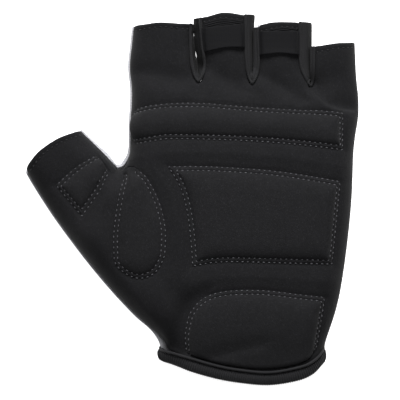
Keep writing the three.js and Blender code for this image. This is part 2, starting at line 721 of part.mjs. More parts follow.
// A tab across the palm side of a finger, between the beads on its two sides.
function pullTab({ finger, left: leftUp, right: rightUp }) {
  const pointAt = (line, y) => {
    const next = line.findIndex((at, i) => i > 0 && (line[i - 1].y - y) * (at.y - y) <= 0);
    const [a, b] = [line[next - 1], line[next]];
    return a.clone().lerp(b, (y - a.y) / (b.y - a.y));
  };
  const arm = (gap, isRight) => {
    const line = gapOutline(gap, BEAD / 2 + SEAM_GAP);
    const half = Math.floor(line.length / 2);
    return isRight ? line.slice(half) : line.slice(0, half);
  };
  const side = (line, up) => {
    const near = up * HAND_LENGTH;
    const heights = [near - TAB_LENGTH, near - TAB_LENGTH / 2, near];
    return new THREE.SplineCurve(heights.map((y) => pointAt(line, y)));
  };
  const left = side(arm(gaps[finger - 1], true), leftUp);
  const right = side(arm(gaps[finger], false), rightUp);
  const middle = left.points[0].clone().lerp(right.points[0], 0.5);
  middle.y += TAB_BOW;
  return overlay({
    left,
    right,
    bottom: new THREE.SplineCurve([left.points[0], middle, right.points[0]]),
    top: new THREE.LineCurve(left.points[2], right.points[2]),
    columns: 8,
    rows: 3,
  }, TAB_LIFT, () => TAB_LIFT + TAB_THICK);
}

// Frames round the cuff's mouth: along the palm's edge from left to right and then back along the
// back's edge. Each has a point of the wall, the way out of the wall and the way out of the mouth.
// By the side seams the palm's frames move out to the back panel's ledge.
function mouthFrames(palmInset, backInset) {
  const edgeShares = (columnStep) => {
    const { hand, thumb } = panelColumns(columnStep);
    return [...thumb.map((u) => u * SPLIT_SHARE), ...hand.slice(1).map((u) => mix(SPLIT_SHARE, 1, u))];
  };
  const frame = (point, share, inset) => {
    const at = cuffEdge.getPointAt(share);
    const wall = point(at, inset);
    const out = point(at, inset - 1).sub(wall).normalize();
    if (point === palmPoint) {
      wall.addScaledVector(out, ledgeAt(at) * Math.hypot(out.x, out.y));
    }
    return { wall, out };
  };
  const palm = edgeShares(PALM_COLUMN).map((share) => frame(palmPoint, share, palmInset));
  const back = edgeShares(BACK_COLUMN).map((share) => frame(backPoint, share, backInset));
  const frames = [...palm, ...back.slice(1, -1).reverse()];
  return frames.map(({ wall, out }, i) => {
    const before = frames[(i + frames.length - 1) % frames.length].wall;
    const after = frames[(i + 1) % frames.length].wall;
    return { wall, out, away: after.clone().sub(before).cross(out).normalize() };
  });
}

// A ring round the mouth with a section given as distances out of the wall and out of the mouth.
function mouthRing(frames, section) {
  const rings = frames.map(({ wall, out, away }) => section.map(([outwards, onwards]) =>
    wall.clone().addScaledVector(out, outwards).addScaledVector(away, onwards)));
  return sweep(rings, true);
}

function cuffBand() {
  const half = BAND_THICK / 2;
  const [near, far] = [SEAM_GAP, SEAM_GAP + CUFF_BAND];
  const [thin, short] = [half - BAND_ROUND, far - BAND_ROUND];
  const section = [[half, near], [half, short], [thin, far], [-thin, far], [-half, short], [-half, near]];
  return mouthRing(mouthFrames(SUEDE / 2, KNIT / 2), section);
}

function cuffPiping() {
  const radius = PIPING / 2;
  const section = Array.from({ length: PIPING_SIDES }, (_, i) => {
    const angle = (2 * Math.PI * i) / PIPING_SIDES;
    return [radius + SEAM_GAP + radius * Math.cos(angle), -radius + radius * Math.sin(angle)];
  });
  return mouthRing(mouthFrames(0, 0), section);
}

// Materials
const matte = (color, roughness) => new THREE.MeshStandardMaterial({ color, roughness, metalness: 0 });
const suede = matte(0x29292b, 0.95);
const paddedSuede = matte(0x2d2d2f, 0.95);
const knit = matte(0xb9babd, 0.85);
const binding = matte(0x262628, 0.8);
const webbing = matte(0x242426, 0.7);

const glove = new THREE.Group();
glove.name = 'cycling_glove';

function add(name, geometry, material) {
  const mesh = new THREE.Mesh(geometry, material);
  mesh.name = name;
  glove.add(mesh);
}

add('palm_panel', palmPanel(), suede);
add('back_panel', backPanel(), knit);
for (const row of PADS) {
  add(row.name, pad(row), paddedSuede);
}
for (const gap of gaps) {
  add(`fourchette_${gap.name}`, fourchette(gap), binding);
}
for (const tab of TABS) {
  add(tab.name, pullTab(tab), webbing);
}
add('cuff_piping', cuffPiping(), binding);
add('cuff_band', cuffBand(), webbing);

// The lowest middle point of the whole glove is the origin
const box = new THREE.Box3().setFromObject(glove);
const centre = box.getCenter(new THREE.Vector3());
glove.position.set(-centre.x, -centre.y, -box.min.z);

export default glove;
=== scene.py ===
"""The looks of a half-finger cycling glove: suede, padding, seams and stitches round its frame."""
import math

import bmesh
import bpy
import numpy as np
from bpy.props import FloatProperty, FloatVectorProperty, IntProperty, PointerProperty
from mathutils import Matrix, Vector
from mathutils.bvhtree import BVHTree


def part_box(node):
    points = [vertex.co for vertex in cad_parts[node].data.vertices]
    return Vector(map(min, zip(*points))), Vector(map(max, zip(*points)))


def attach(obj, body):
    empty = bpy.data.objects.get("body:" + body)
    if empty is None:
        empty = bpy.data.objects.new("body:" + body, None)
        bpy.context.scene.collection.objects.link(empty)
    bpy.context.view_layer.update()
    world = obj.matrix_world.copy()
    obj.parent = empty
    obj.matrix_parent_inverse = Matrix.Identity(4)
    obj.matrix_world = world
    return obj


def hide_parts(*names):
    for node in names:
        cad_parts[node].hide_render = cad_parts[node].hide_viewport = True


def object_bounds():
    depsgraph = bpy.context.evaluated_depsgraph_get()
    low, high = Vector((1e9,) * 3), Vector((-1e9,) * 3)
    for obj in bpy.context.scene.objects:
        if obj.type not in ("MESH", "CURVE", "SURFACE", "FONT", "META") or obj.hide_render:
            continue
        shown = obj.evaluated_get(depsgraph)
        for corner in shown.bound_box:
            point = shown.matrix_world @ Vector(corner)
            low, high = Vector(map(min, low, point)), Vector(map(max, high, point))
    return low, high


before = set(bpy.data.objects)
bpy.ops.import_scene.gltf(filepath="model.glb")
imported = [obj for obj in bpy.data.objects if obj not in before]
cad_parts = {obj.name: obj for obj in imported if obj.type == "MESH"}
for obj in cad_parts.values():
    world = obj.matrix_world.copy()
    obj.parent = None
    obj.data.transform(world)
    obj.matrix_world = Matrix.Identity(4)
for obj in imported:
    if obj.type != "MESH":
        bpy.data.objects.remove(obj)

bl_info = {
    "name": "Half-finger cycling glove",
    "version": (1, 0, 0),
    "blender": (4, 5, 0),
    "location": "View3D > Sidebar > Glove",
    "description": "Dresses the glove's frame in suede, knit, padding, elastic and stitches",
    "category": "Object",
}

MM = 0.001
CAD_LOW, CAD_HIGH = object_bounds()
OVERHEAD = CAD_HIGH.z + 20 * MM  # where rays that look for the cloth start, going down

PADS = ("knuckle_pad", "palm_pad", "heel_pad", "thenar_pad", "thumb_pad")
PULL_TABS = ("middle_pull_tab", "ring_pull_tab")
GATHERED = ("middle", "ring")

# Lines that shape the palm, in shares of the glove's box from its lower left corner. A fold rises by
# rise, or sinks where that is negative, and fades over below and above, which are to its right and
# left seen from its start. All three are in millimetres.
FOLDS = (
    {"line": ((0.334, 0.838), (0.405, 0.830), (0.486, 0.817)), "rise": -1.4, "below": 3.5, "above": 4.5},
    {"line": ((0.336, 0.790), (0.410, 0.785), (0.480, 0.778)), "rise": 0.5, "below": 4.0, "above": 4.0},
    {"line": ((0.543, 0.850), (0.591, 0.818), (0.644, 0.791)), "rise": -1.6, "below": 2.6, "above": 4.0},
    {"line": ((0.710, 0.828), (0.764, 0.796), (0.823, 0.766)), "rise": -1.6, "below": 2.4, "above": 3.6},
    {"line": ((0.861, 0.792), (0.896, 0.760), (0.930, 0.745), (0.985, 0.738)),
     "rise": -2.4, "below": 0.9, "above": 5.5},
    {"line": ((0.861, 0.780), (0.900, 0.746), (0.965, 0.725)), "rise": 0.5, "below": 2.6, "above": 1.2},
    {"line": ((0.465, 0.086), (0.465, 0.159), (0.495, 0.218), (0.540, 0.245)),
     "rise": -1.0, "below": 2.6, "above": 3.8},
    {"line": ((0.534, 0.070), (0.629, 0.092), (0.710, 0.110)), "rise": -0.7, "below": 2.6, "above": 4.0},
)

# The edges of the fingers' and the thumb's openings, in shares of the glove's box, with the palm on
# the right.
HEMS = {
    "index": ((0.325, 0.964), (0.405, 0.973), (0.489, 0.968)),
    "middle": ((0.534, 0.987), (0.591, 0.998), (0.653, 0.992)),
    "ring": ((0.704, 0.962), (0.767, 0.974), (0.816, 0.970)),
    "little": ((0.871, 0.905), (0.928, 0.915), (0.984, 0.920)),
    "thumb": ((0.010, 0.586), (0.048, 0.628), (0.103, 0.661), (0.168, 0.684)),
}

# The walls between two fingers, from the top of the left wall round the foot to the top of the right
# one, in shares of the wall's own box from its lower left corner. Each row has a point of the outer
# edge of the bead and the point across from it where the two walls meet. The face between them lies
# sunk below the bead and sinks on by drop, and below that the walls lean over by lean, all in
# millimetres. flat is the size of the wall's cloth laid flat, in metres.
GAPS = {
    "fourchette_index_middle": {
        "sunk": 2.6, "drop": 3.0, "lean": 0.2, "flat": (0.066, 0.021), "rows": (
        ((0.01, 0.90), (0.31, 0.90)), ((0.01, 0.815), (0.31, 0.815)), ((0.01, 0.765), (0.270, 0.765)),
        ((0.01, 0.715), (0.270, 0.715)), ((0.013, 0.665), (0.32, 0.665)), ((0.02, 0.55), (0.38, 0.55)),
        ((0.03, 0.48), (0.37, 0.48)), ((0.035, 0.43), (0.38, 0.43)), ((0.05, 0.37), (0.46, 0.37)),
        ((0.09, 0.27), (0.50, 0.31)), ((0.20, 0.15), (0.53, 0.24)), ((0.36, 0.045), (0.54, 0.19)),
        ((0.55, 0.00), (0.54, 0.175)), ((0.75, 0.045), (0.53, 0.19)), ((0.93, 0.15), (0.50, 0.24)),
        ((1.00, 0.27), (0.46, 0.31)), ((0.965, 0.37), (0.44, 0.37)), ((0.945, 0.43), (0.43, 0.43)),
        ((0.905, 0.48), (0.385, 0.48)), ((0.87, 0.54), (0.32, 0.55)), ((0.82, 0.665), (0.26, 0.665)),
        ((0.805, 0.715), (0.277, 0.715)), ((0.80, 0.765), (0.277, 0.765)), ((0.79, 0.815), (0.25, 0.815)),
        ((0.775, 0.90), (0.25, 0.90)), ((0.77, 1.00), (0.25, 0.99)))},
    "fourchette_middle_ring": {
        "sunk": 0.5, "drop": 1.6, "lean": 1.6, "flat": (0.064, 0.020), "rows": (
        ((0.00, 1.00), (0.55, 1.00)), ((0.00, 0.80), (0.485, 0.80)), ((0.01, 0.60), (0.485, 0.60)),
        ((0.03, 0.41), (0.485, 0.41)), ((0.09, 0.24), (0.485, 0.28)), ((0.23, 0.095), (0.49, 0.195)),
        ((0.485, 0.00), (0.50, 0.16)), ((0.77, 0.075), (0.52, 0.195)), ((0.95, 0.21), (0.52, 0.28)),
        ((1.00, 0.38), (0.52, 0.41)), ((0.965, 0.59), (0.52, 0.60)), ((0.95, 0.73), (0.53, 0.73)),
        ((0.95, 0.815), (0.56, 0.815)))},
    "fourchette_ring_little": {
        "sunk": 0.5, "drop": 1.8, "lean": 2.2, "flat": (0.054, 0.020), "rows": (
        ((0.01, 1.00), (0.625, 0.995)), ((0.005, 0.795), (0.625, 0.795)),
        ((0.005, 0.595), (0.61, 0.595)), ((0.02, 0.415), (0.595, 0.43)), ((0.12, 0.26), (0.60, 0.29)),
        ((0.32, 0.14), (0.625, 0.185)), ((0.515, 0.055), (0.64, 0.125)), ((0.75, 0.00), (0.665, 0.095)),
        ((0.935, 0.08), (0.665, 0.13)), ((0.98, 0.23), (0.64, 0.245)), ((0.995, 0.415), (0.625, 0.415)),
        ((1.00, 0.625), (0.64, 0.625)))},
}

# Where a pad has no stitches, because it runs on under the side seam, the piping or the crotch: the
# two ends of that stretch in shares of the glove's box.
UNSEWN = {
    "knuckle_pad": ((0.322, 0.738), (0.320, 0.642)),
    "heel_pad": ((0.479, 0.084), (0.875, 0.090)),
    "thenar_pad": ((0.288, 0.558), (0.337, 0.568)),
    "thumb_pad": ((0.218, 0.620), (0.259, 0.568)),
}


def mm(value):
    return value * MM


def size(name, description, default, least):
    """A length property whose default and least value are given in millimetres."""
    return FloatProperty(
        name=name, description=description, default=mm(default), min=mm(least),
        subtype="DISTANCE", unit="LENGTH")


class GloveSizes(bpy.types.PropertyGroup):
    """Sizes that a user would change."""

    cloth_cell: size("Cloth cell", "Spacing of the points of the palm's mesh", 0.71, 0.4)
    pad_rise: size("Pad rise", "Height of a pad's foam above the palm", 1.5, 0.5)
    pad_shoulder: size("Pad shoulder", "Width over which a pad rounds down to its stitches", 7, 1)
    row_gap: size("Row gap", "Distance between the two rows of a double seam", 1.7, 0.8)
    row_inset: size("Row inset", "Distance of the outer row from a pad's edge", 0.5, 0.1)
    stitch_pitch: size("Stitch pitch", "Distance from one stitch to the next", 2.4, 1)
    stitch_length: size("Stitch length", "Length of one stitch", 1.2, 0.5)
    thread: size("Thread", "Diameter of the sewing thread", 0.45, 0.1)
    seam_dip: size("Seam dip", "How far a row of stitches pulls the suede down", 0.38, 0)
    seam_pull: size("Seam pull", "How far the suede beside a pad sinks towards its seam", 0.8, 0)
    bead: size("Bead", "Width of the rolled seam beside a gap between two fingers", 1.4, 0.5)
    bead_proud: size("Bead proud", "How far that seam stands above the palm", 0.3, 0)
    hem: size("Hem", "Width of the hem at each opening", 2.2, 0.5)
    rib_pitch: size("Rib pitch", "Distance between the ribs of the cuff's elastic", 1.0, 0.3)
    rib_width: size("Rib width", "Width of one rib of the cuff's elastic", 0.66, 0.1)
    gather_pitch: size("Gather pitch", "Distance between the gathers before a pull tab", 0.9, 0.3)
    seed: IntProperty(name="Seed", description="Start of all that is random", default=4, min=0)


def colour(name, description, default):
    """A colour property."""
    return FloatVectorProperty(
        name=name, description=description, default=default, size=3, min=0, max=1, subtype="COLOR")


class GloveColours(bpy.types.PropertyGroup):
    """Colours that a user would change."""

    suede: colour("Suede", "The palm's suede", (0.0061, 0.0061, 0.0067))
    pad_suede: colour("Pad suede", "The suede over the pads", (0.0068, 0.0068, 0.0074))
    knit: colour("Knit", "The back's knit", (0.34, 0.34, 0.36))
    fourchette: colour("Fourchette", "The knit between the fingers", (0.0085, 0.0085, 0.0092))
    webbing: colour("Webbing", "The pull tabs", (0.0044, 0.0044, 0.0049))
    elastic: colour("Elastic", "The cuff's elastic", (0.0075, 0.0075, 0.0083))
    thread: colour("Thread", "The thread of the double seams", (0.040, 0.040, 0.044))
    hem_thread: colour("Hem thread", "The thread of the hems", (0.009, 0.009, 0.0100))
    floor: colour("Floor", "The floor under the glove", (0.88, 0.88, 0.88))


# Shader expressions


class Wire:
    """A socket that takes Python's operators and adds a Math node for each."""

    def __init__(self, finish, socket):
        self.finish = finish
        self.socket = socket

    def math(self, operation, *values):
        return self.finish.node("ShaderNodeMath", {"operation": operation}, *values)

    def __add__(self, other):
        return self.math("ADD", self, other)

    def __sub__(self, other):
        return self.math("SUBTRACT", self, other)

    def __rsub__(self, other):
        return self.math("SUBTRACT", other, self)

    def __mul__(self, other):
        return self.math("MULTIPLY", self, other)

    __radd__ = __add__
    __rmul__ = __mul__

    def wave(self):
        """A sine wave from 0 to 1."""
        return self.math("SINE", self) * 0.5 + 0.5

    def between(self, low, high):
        """0 at low, 1 at high and eased between them."""
        settings = {"interpolation_type": "SMOOTHSTEP"}
        return self.finish.node("ShaderNodeMapRange", settings, self, low, high, 0.0, 1.0)


class Finish:
    """One procedural material that is read in Object coordinates."""

    def __init__(self, name, roughness, **constants):
        self.material = bpy.data.materials.new(name)
        self.material.use_nodes = True
        self.tree = self.material.node_tree
        self.shader = self.tree.nodes["Principled BSDF"]
        self.set("Roughness", roughness)
        for socket, value in constants.items():
            self.set(socket.replace("_", " "), value)
        where = self.tree.nodes.new("ShaderNodeTexCoord").outputs["Object"]
        self.where = Wire(self, where)

    def plug(self, socket, value):
        if isinstance(value, Wire):
            self.tree.links.new(value.socket, socket)
        elif value is not None:
            socket.default_value = value

    def set(self, name, value):
        self.plug(self.shader.inputs[name], value)

    def node(self, kind, settings, *values, **named):
        """A node's first output, with its settings and the values of its shown sockets."""
        made = self.tree.nodes.new(kind)
        for setting, value in settings.items():
            setattr(made, setting, value)
        shown = [socket for socket in made.inputs if socket.enabled]
        for socket, value in zip(shown, values):
            self.plug(socket, value)
        for name, value in named.items():
            self.plug(made.inputs[name.replace("_", " ")], value)
        first = next(socket for socket in made.outputs if socket.enabled)
        return Wire(self, first)

    def split(self, vector):
        """The three numbers of a vector."""
        made = self.tree.nodes.new("ShaderNodeSeparateXYZ")
        self.plug(made.inputs[0], vector)
        return [Wire(self, output) for output in made.outputs]

    def stretched(self, x, y, z):
        """Object coordinates scaled along each axis."""
        return self.node("ShaderNodeVectorMath", {"operation": "MULTIPLY"}, self.where, (x, y, z))

    def noise(self, size, detail=2.0, roughness=0.5, where=None):
        """Noise from 0 to 1 with features of one size in metres."""
        return self.node(
            "ShaderNodeTexNoise", {"noise_dimensions": "3D"},
            Vector=where or self.where, Scale=1 / size, Detail=detail, Roughness=roughness)

    def shade(self, base, factor):
        """A colour darkened or lightened by a factor that changes over the surface."""
        grey = self.node("ShaderNodeCombineXYZ", {}, factor, factor, factor)
        mixed = self.node(
            "ShaderNodeMix", {"data_type": "RGBA", "blend_type": "MULTIPLY"}, 1.0, (*base, 1.0), grey)
        self.set("Base Color", mixed)

    def bump(self, height, distance):
        """Low relief of a depth in metres."""
        normal = self.node("ShaderNodeBump", {}, Strength=1.0, Distance=distance, Height=height)
        self.set("Normal", normal)


def suede_finish(name, base):
    """Brushed microfibre: a short nap with clouds where it lies over, and pale fibre ends."""
    finish = Finish(name, 0.92, Sheen_Weight=0.02, Sheen_Roughness=0.5, Specular_IOR_Level=0.06)
    nap = finish.noise(mm(0.55), 3.0, 0.62)
    clouds = finish.noise(mm(9), 2.0, 0.5)
    grain = finish.noise(mm(1.3), 2.0, 0.55)
    fibres = finish.noise(mm(0.3), 1.0, 0.5, finish.stretched(1.0, 0.45, 1.0))
    ends = fibres.between(0.60, 0.74)
    finish.shade(base, 0.2 + 0.75 * nap + 0.28 * clouds + 0.55 * grain + 1.1 * ends)
    finish.set("Roughness", 0.82 + 0.16 * nap)
    finish.bump(nap * 0.6 + grain * 0.5 + fibres * 0.3, mm(0.16))
    return finish.material


def knit_finish(name, base, pitch, shine, painted_shade=0.0, shadow=1.0):
    """Fine warp knit: columns of small loops, with painted shade that darkens it by a given share low
    down and eases out up to the height shadow.
    """
    finish = Finish(name, 0.85, Sheen_Weight=shine, Sheen_Roughness=0.5, Specular_IOR_Level=0.1)
    x, y, z = finish.split(finish.where)
    turn = 2 * math.pi / pitch
    columns = (x * turn).wave()
    loops = (y * (turn * 0.8) + columns * 1.8 + z * turn).wave()
    weave = columns * 0.5 + loops * 0.5
    fuzz = finish.noise(mm(0.5), 2.0, 0.6)
    # Painted shade: the knit that lies low, deep in the slits between the fingers, is darkened.
    painted_shade_factor = (1 - painted_shade) + painted_shade * z.between(shadow - mm(3.4), shadow)
    finish.shade(base, (0.72 + 0.3 * weave + 0.26 * fuzz) * painted_shade_factor)
    finish.set("Roughness", 0.78 + 0.15 * fuzz)
    finish.bump(weave + fuzz * 0.4, mm(0.12))
    return finish.material


def webbing_finish(name, base):
    """Smooth woven tape: fine ribs across the tab and a low shine."""
    finish = Finish(name, 0.7, Sheen_Weight=0.01, Specular_IOR_Level=0.04)
    x, y, _ = finish.split(finish.where)
    weft = (y * (2 * math.pi / mm(0.55))).wave()
    warp = (x * (2 * math.pi / mm(0.8))).wave()
    worn = finish.noise(mm(2.5), 3.0, 0.6)
    weave = weft * 0.6 + warp * 0.4
    finish.shade(base, 0.8 + 0.3 * weave + 0.35 * worn)
    finish.set("Roughness", 0.55 + 0.22 * worn)
    finish.bump(weave, mm(0.06))
    return finish.material


def elastic_finish(name, base):
    """Covered rubber threads: dull yarn with lint."""
    finish = Finish(name, 0.75, Sheen_Weight=0.02, Sheen_Roughness=0.5, Specular_IOR_Level=0.12)
    yarn = finish.noise(mm(0.4), 3.0, 0.6)
    wear = finish.noise(mm(6), 2.0, 0.5)
    finish.shade(base, 0.55 + 0.7 * yarn + 0.35 * wear)
    finish.set("Roughness", 0.66 + 0.25 * yarn)
    finish.bump(yarn, mm(0.08))
    return finish.material


def thread_finish(name, base):
    """Polyester thread: a faint twist, and painted light that makes some stretches of it brighter and
    others darker.
    """
    finish = Finish(name, 0.55, Sheen_Weight=0.02, Specular_IOR_Level=0.2)
    twist = finish.noise(mm(0.25), 2.0, 0.5)
    painted_light_patches = finish.noise(mm(2.6), 2.0, 0.5)
    # Painted light: patches a few millimetres long brighten some stitches and darken others.
    finish.shade(base, 0.1 + 0.5 * twist + 1.4 * painted_light_patches)
    finish.bump(twist, mm(0.05))
    return finish.material


def floor_finish(name, base):
    """Smooth white paper."""
    finish = Finish(
        name, 0.9, Specular_IOR_Level=0.2, Emission_Color=(1, 1, 1, 1), Emission_Strength=0.9)
    pulp = finish.noise(mm(40), 2.0, 0.5)
    finish.shade(base, 0.995 + 0.01 * pulp)
    return finish.material


def material(name):
    """One of the glove's materials, made when it is first asked for."""
    found = bpy.data.materials.get(name)
    if found:
        return found
    colours = bpy.context.scene.glove_colours
    makers = {
        "palm suede": lambda: suede_finish(name, colours.suede),
        "pad suede": lambda: suede_finish(name, colours.pad_suede),
        "back knit": lambda: knit_finish(name, colours.knit, mm(0.9), 0.1),
        # The fourchette knit gets painted shade: 80% darker below 12.4 mm, easing back to its own colour
        # at 15.8 mm, deep in the slits between the fingers.
        "fourchette knit": lambda: knit_finish(name, colours.fourchette, mm(0.6), 0.02, 0.8, mm(15.8)),
        "tab webbing": lambda: webbing_finish(name, colours.webbing),
        "cuff elastic": lambda: elastic_finish(name, colours.elastic),
        "sewing thread": lambda: thread_finish(name, colours.thread),
        "hem thread": lambda: thread_finish(name, colours.hem_thread),
        "paper floor": lambda: floor_finish(name, colours.floor),
    }
    return makers[name]()


# Points, lines and surfaces


def share_point(across, up):
    """A plan point from shares of the frame's box."""
    span = CAD_HIGH - CAD_LOW
    return np.array((CAD_LOW.x + across * span.x, CAD_LOW.y + up * span.y))


def points_of(mesh):
    found = np.zeros(len(mesh.vertices) * 3)
    mesh.vertices.foreach_get("co", found)
    return found.reshape(-1, 3)


def set_points(mesh, points):
    mesh.vertices.foreach_set("co", points.ravel())
    mesh.update()


def snapped(tree, points):
    """Points moved to the nearest place of a surface."""
    return np.array([tree.find_nearest(Vector(point))[0] for point in points])


def edges_of(mesh):
    found = np.zeros(len(mesh.edges) * 2, np.int32)
    mesh.edges.foreach_get("vertices", found)
    return found.reshape(-1, 2)


def relaxed(points, edges, weight, rounds):
    """Points moved towards the middle of their neighbours, each by its own weight."""
    count = np.bincount(edges.ravel(), minlength=len(points))[:, None]
    for _ in range(rounds):
        total = np.zeros_like(points)
        np.add.at(total, edges[:, 0], points[edges[:, 1]])
        np.add.at(total, edges[:, 1], points[edges[:, 0]])
        points = points + weight[:, None] * (total / count - points)
    return points


def distance_to(points, line, closed=False):
    """Distance of each point from a line of points, and on which side of it each lies."""
    best = np.full(len(points), np.inf)
    side = np.zeros(len(points))
    ends = np.roll(line, -1, axis=0) if closed else line[1:]
    for start, end in zip(line, ends):
        run = end - start
        length = run @ run
        if length == 0:
            continue
        offset = points - start
        share = np.clip(offset @ run / length, 0, 1)
        apart = np.linalg.norm(offset - share[:, None] * run, axis=1)
        nearer = apart < best
        best = np.where(nearer, apart, best)
        if points.shape[1] == 2:
            side = np.where(nearer, run[0] * offset[:, 1] - run[1] * offset[:, 0], side)
    return best, side


def nearest_on(points, line):
    """Each plan point's nearest place on a line of points, and how many of its points along that is."""
    best = np.full(len(points), np.inf)
    spots = np.zeros((len(points), 2))
    along = np.zeros(len(points))
    for i, (start, end) in enumerate(zip(line, line[1:])):
        run = end - start
        share = np.clip((points - start) @ run / (run @ run), 0, 1)
        spot = start + share[:, None] * run
        apart = np.linalg.norm(points - spot, axis=1)
        nearer = apart < best
        best = np.where(nearer, apart, best)
        spots = np.where(nearer[:, None], spot, spots)
        along = np.where(nearer, i + share, along)
    return spots, along


def right_of(line):
    """The way to the right of a plan line at each of its points."""
    ahead = np.gradient(line, axis=0)
    side = np.column_stack([ahead[:, 1], -ahead[:, 0]])
    return side / np.linalg.norm(side, axis=1)[:, None]


def is_inside(points, outline):
    """Which plan points lie inside a closed outline."""
    inside = np.zeros(len(points), bool)
    for (ax, ay), (bx, by) in zip(outline, np.roll(outline, -1, axis=0)):
        spans = (ay > points[:, 1]) != (by > points[:, 1])
        height = np.where(by == ay, 1.0, by - ay)
        crossing = ax + (points[:, 1] - ay) * (bx - ax) / height
        inside ^= spans & (points[:, 0] < crossing)
    return inside


def curved(line, steps=8):
    """A smooth line through a few points."""
    line = np.asarray(line, float)
    padded = np.vstack([2 * line[0] - line[1], line, 2 * line[-1] - line[-2]])
    found = []
    for a, b, c, d in zip(padded, padded[1:], padded[2:], padded[3:]):
        for t in np.arange(steps) / steps:
            found.append(0.5 * (2 * b + (c - a) * t + (2 * a - 5 * b + 4 * c - d) * t**2
                                + (3 * b - a - 3 * c + d) * t**3))
    return np.array([*found, line[-1]])


def merged_copy(node):
    """The faces of a frame node with shared corners, joined into squares where they can be."""
    bm = bmesh.new()
    bm.from_mesh(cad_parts[node].data)
    bmesh.ops.remove_doubles(bm, verts=bm.verts, dist=mm(0.002))
    bmesh.ops.join_triangles(
        bm, faces=bm.faces,
        angle_face_threshold=math.radians(40), angle_shape_threshold=math.radians(70))
    return bm


def object_from(bm, name):
    mesh = bpy.data.meshes.new(name)
    bm.to_mesh(mesh)
    bm.free()
    made = bpy.data.objects.new(name, mesh)
    bpy.context.scene.collection.objects.link(made)
    return made


def baked(obj):
    """The object with what its modifiers make as its own mesh."""
    bpy.context.view_layer.update()
    graph = bpy.context.evaluated_depsgraph_get()
    mesh = bpy.data.meshes.new_from_object(obj.evaluated_get(graph))
    obj.modifiers.clear()
    old = obj.data
    obj.data = mesh
    bpy.data.meshes.remove(old)
    mesh.name = obj.name
    return obj


def evaluated_points(obj, count):
    """Where the first points of an object lie after its modifiers."""
    bpy.context.view_layer.update()
    shown_obj = obj.evaluated_get(bpy.context.evaluated_depsgraph_get())
    return points_of(shown_obj.data)[:count]


def subdivide(obj, levels, rounds):
    """Rounds an object and lets the surface still pass through its own points."""
    modifier = obj.modifiers.new("Rounding", "SUBSURF")
    modifier.levels = modifier.render_levels = 1
    modifier.boundary_smooth = "PRESERVE_CORNERS"
    wanted = points_of(obj.data)
    cage = wanted.copy()
    for _ in range(rounds):
        cage += wanted - evaluated_points(obj, len(wanted))
        set_points(obj.data, cage)
    modifier.levels = modifier.render_levels = levels


def softened(node, name, levels, crease=1.0, rounds=4):
    """A smooth copy of a frame node that keeps its sharp rims."""
    bm = merged_copy(node)
    layer = bm.edges.layers.float.new("crease_edge")
    for edge in bm.edges:
        if edge.calc_face_angle(0.0) > math.radians(55):
            edge[layer] = crease
    obj = object_from(bm, name)
    subdivide(obj, levels, rounds)
    return obj


def shown(obj, finish, slot, *nodes):
    """Finishes a piece: its material, its smooth shading, its body and the frame nodes that it stands
    for, which it hides; slot is not used.
    """
    obj.data.materials.clear()
    obj.data.materials.append(material(finish))
    obj.data.shade_smooth()
    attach(obj, "root")
    if nodes:
        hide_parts(*nodes)
    return obj


def surface_of(*objs):
    """A search tree over one or more meshes."""
    points, faces = [], []
    for obj in objs:
        start = len(points)
        points += [vertex.co.copy() for vertex in obj.data.vertices]
        faces += [[start + i for i in face.vertices] for face in obj.data.polygons]
    return BVHTree.FromPolygons(points, faces)


def dropped(tree, plan):
    """The points straight under plan points on a surface, and its normals there."""
    down = Vector((0, 0, -1))
    found = [tree.ray_cast(Vector((x, y, OVERHEAD)), down)[:2] for x, y in plan]
    found = [(hit, normal) for hit, normal in found if hit is not None]
    return np.array([hit for hit, _ in found]), np.array([normal for _, normal in found])


# Pads as patches of the palm


def skins(bm, sharp_deg=60):
    """Groups of faces that meet without a sharp edge."""
    left = set(bm.faces)
    groups = []
    while left:
        group = [left.pop()]
        for face in group:
            for edge in face.edges:
                if edge.calc_face_angle(math.pi) < math.radians(sharp_deg):
                    fresh = [other for other in edge.link_faces if other in left]
                    left.difference_update(fresh)
                    group += fresh
        groups.append(group)
    return groups


def pad_patch(node, levels=4):
    """The face of a pad that lies on the palm, as a fine open patch facing out."""
    bm = merged_copy(node)
    under = min(skins(bm), key=lambda group: sum(face.normal.z * face.calc_area() for face in group))
    keep = set(under)
    bmesh.ops.delete(bm, geom=[face for face in bm.faces if face not in keep], context="FACES")
    bmesh.ops.reverse_faces(bm, faces=bm.faces)
    patch = object_from(bm, node + "_patch")
    subdivide(patch, levels, 4)
    return baked(patch)


def rim_of(mesh):
    """The indices of an open patch's rim, in order."""
    uses = {}
    for face in mesh.polygons:
        for edge in face.edge_keys:
            uses[edge] = uses.get(edge, 0) + 1
    beside = {}
    for (a, b), count in uses.items():
        if count == 1:
            beside.setdefault(a, []).append(b)
            beside.setdefault(b, []).append(a)
    start = min(beside)
    rim = [start, beside[start][0]]
    while True:
        a, b = beside[rim[-1]]
        step = b if a == rim[-2] else a
        if step == start:
            return rim
        rim.append(step)


def sewn_stretch(node, outline):
    """The stretch of a pad's outline that has stitches, and whether it is the whole of it."""
    if node not in UNSEWN:
        return outline, True
    count = len(outline)
    ends = [share_point(*end) for end in UNSEWN[node]]
    a, b = (int(np.argmin(np.linalg.norm(outline[:, :2] - end, axis=1))) for end in ends)
    forward = np.arange(a, a + (b - a) % count + 1) % count
    backward = np.arange(b, b + (a - b) % count + 1) % count
    return outline[max(forward, backward, key=len)], False


def contour(mesh, values, level):
    """The pairs of points, in order along a patch, between which a value passes a level."""
    beside = {}
    for face in mesh.polygons:
        cut = [
            (a, b) for a, b in face.edge_keys if (values[a] < level) != (values[b] < level)]
        if len(cut) == 2:
            beside.setdefault(cut[0], []).append(cut[1])
            beside.setdefault(cut[1], []).append(cut[0])
    ends = [edge for edge, others in beside.items() if len(others) == 1]
    line = [ends[0] if ends else next(iter(beside))]
    known = set(line)
    while True:
        fresh = [edge for edge in beside[line[-1]] if edge not in known]
        if not fresh:
            return line, not ends
        line.append(fresh[0])
        known.add(fresh[0])


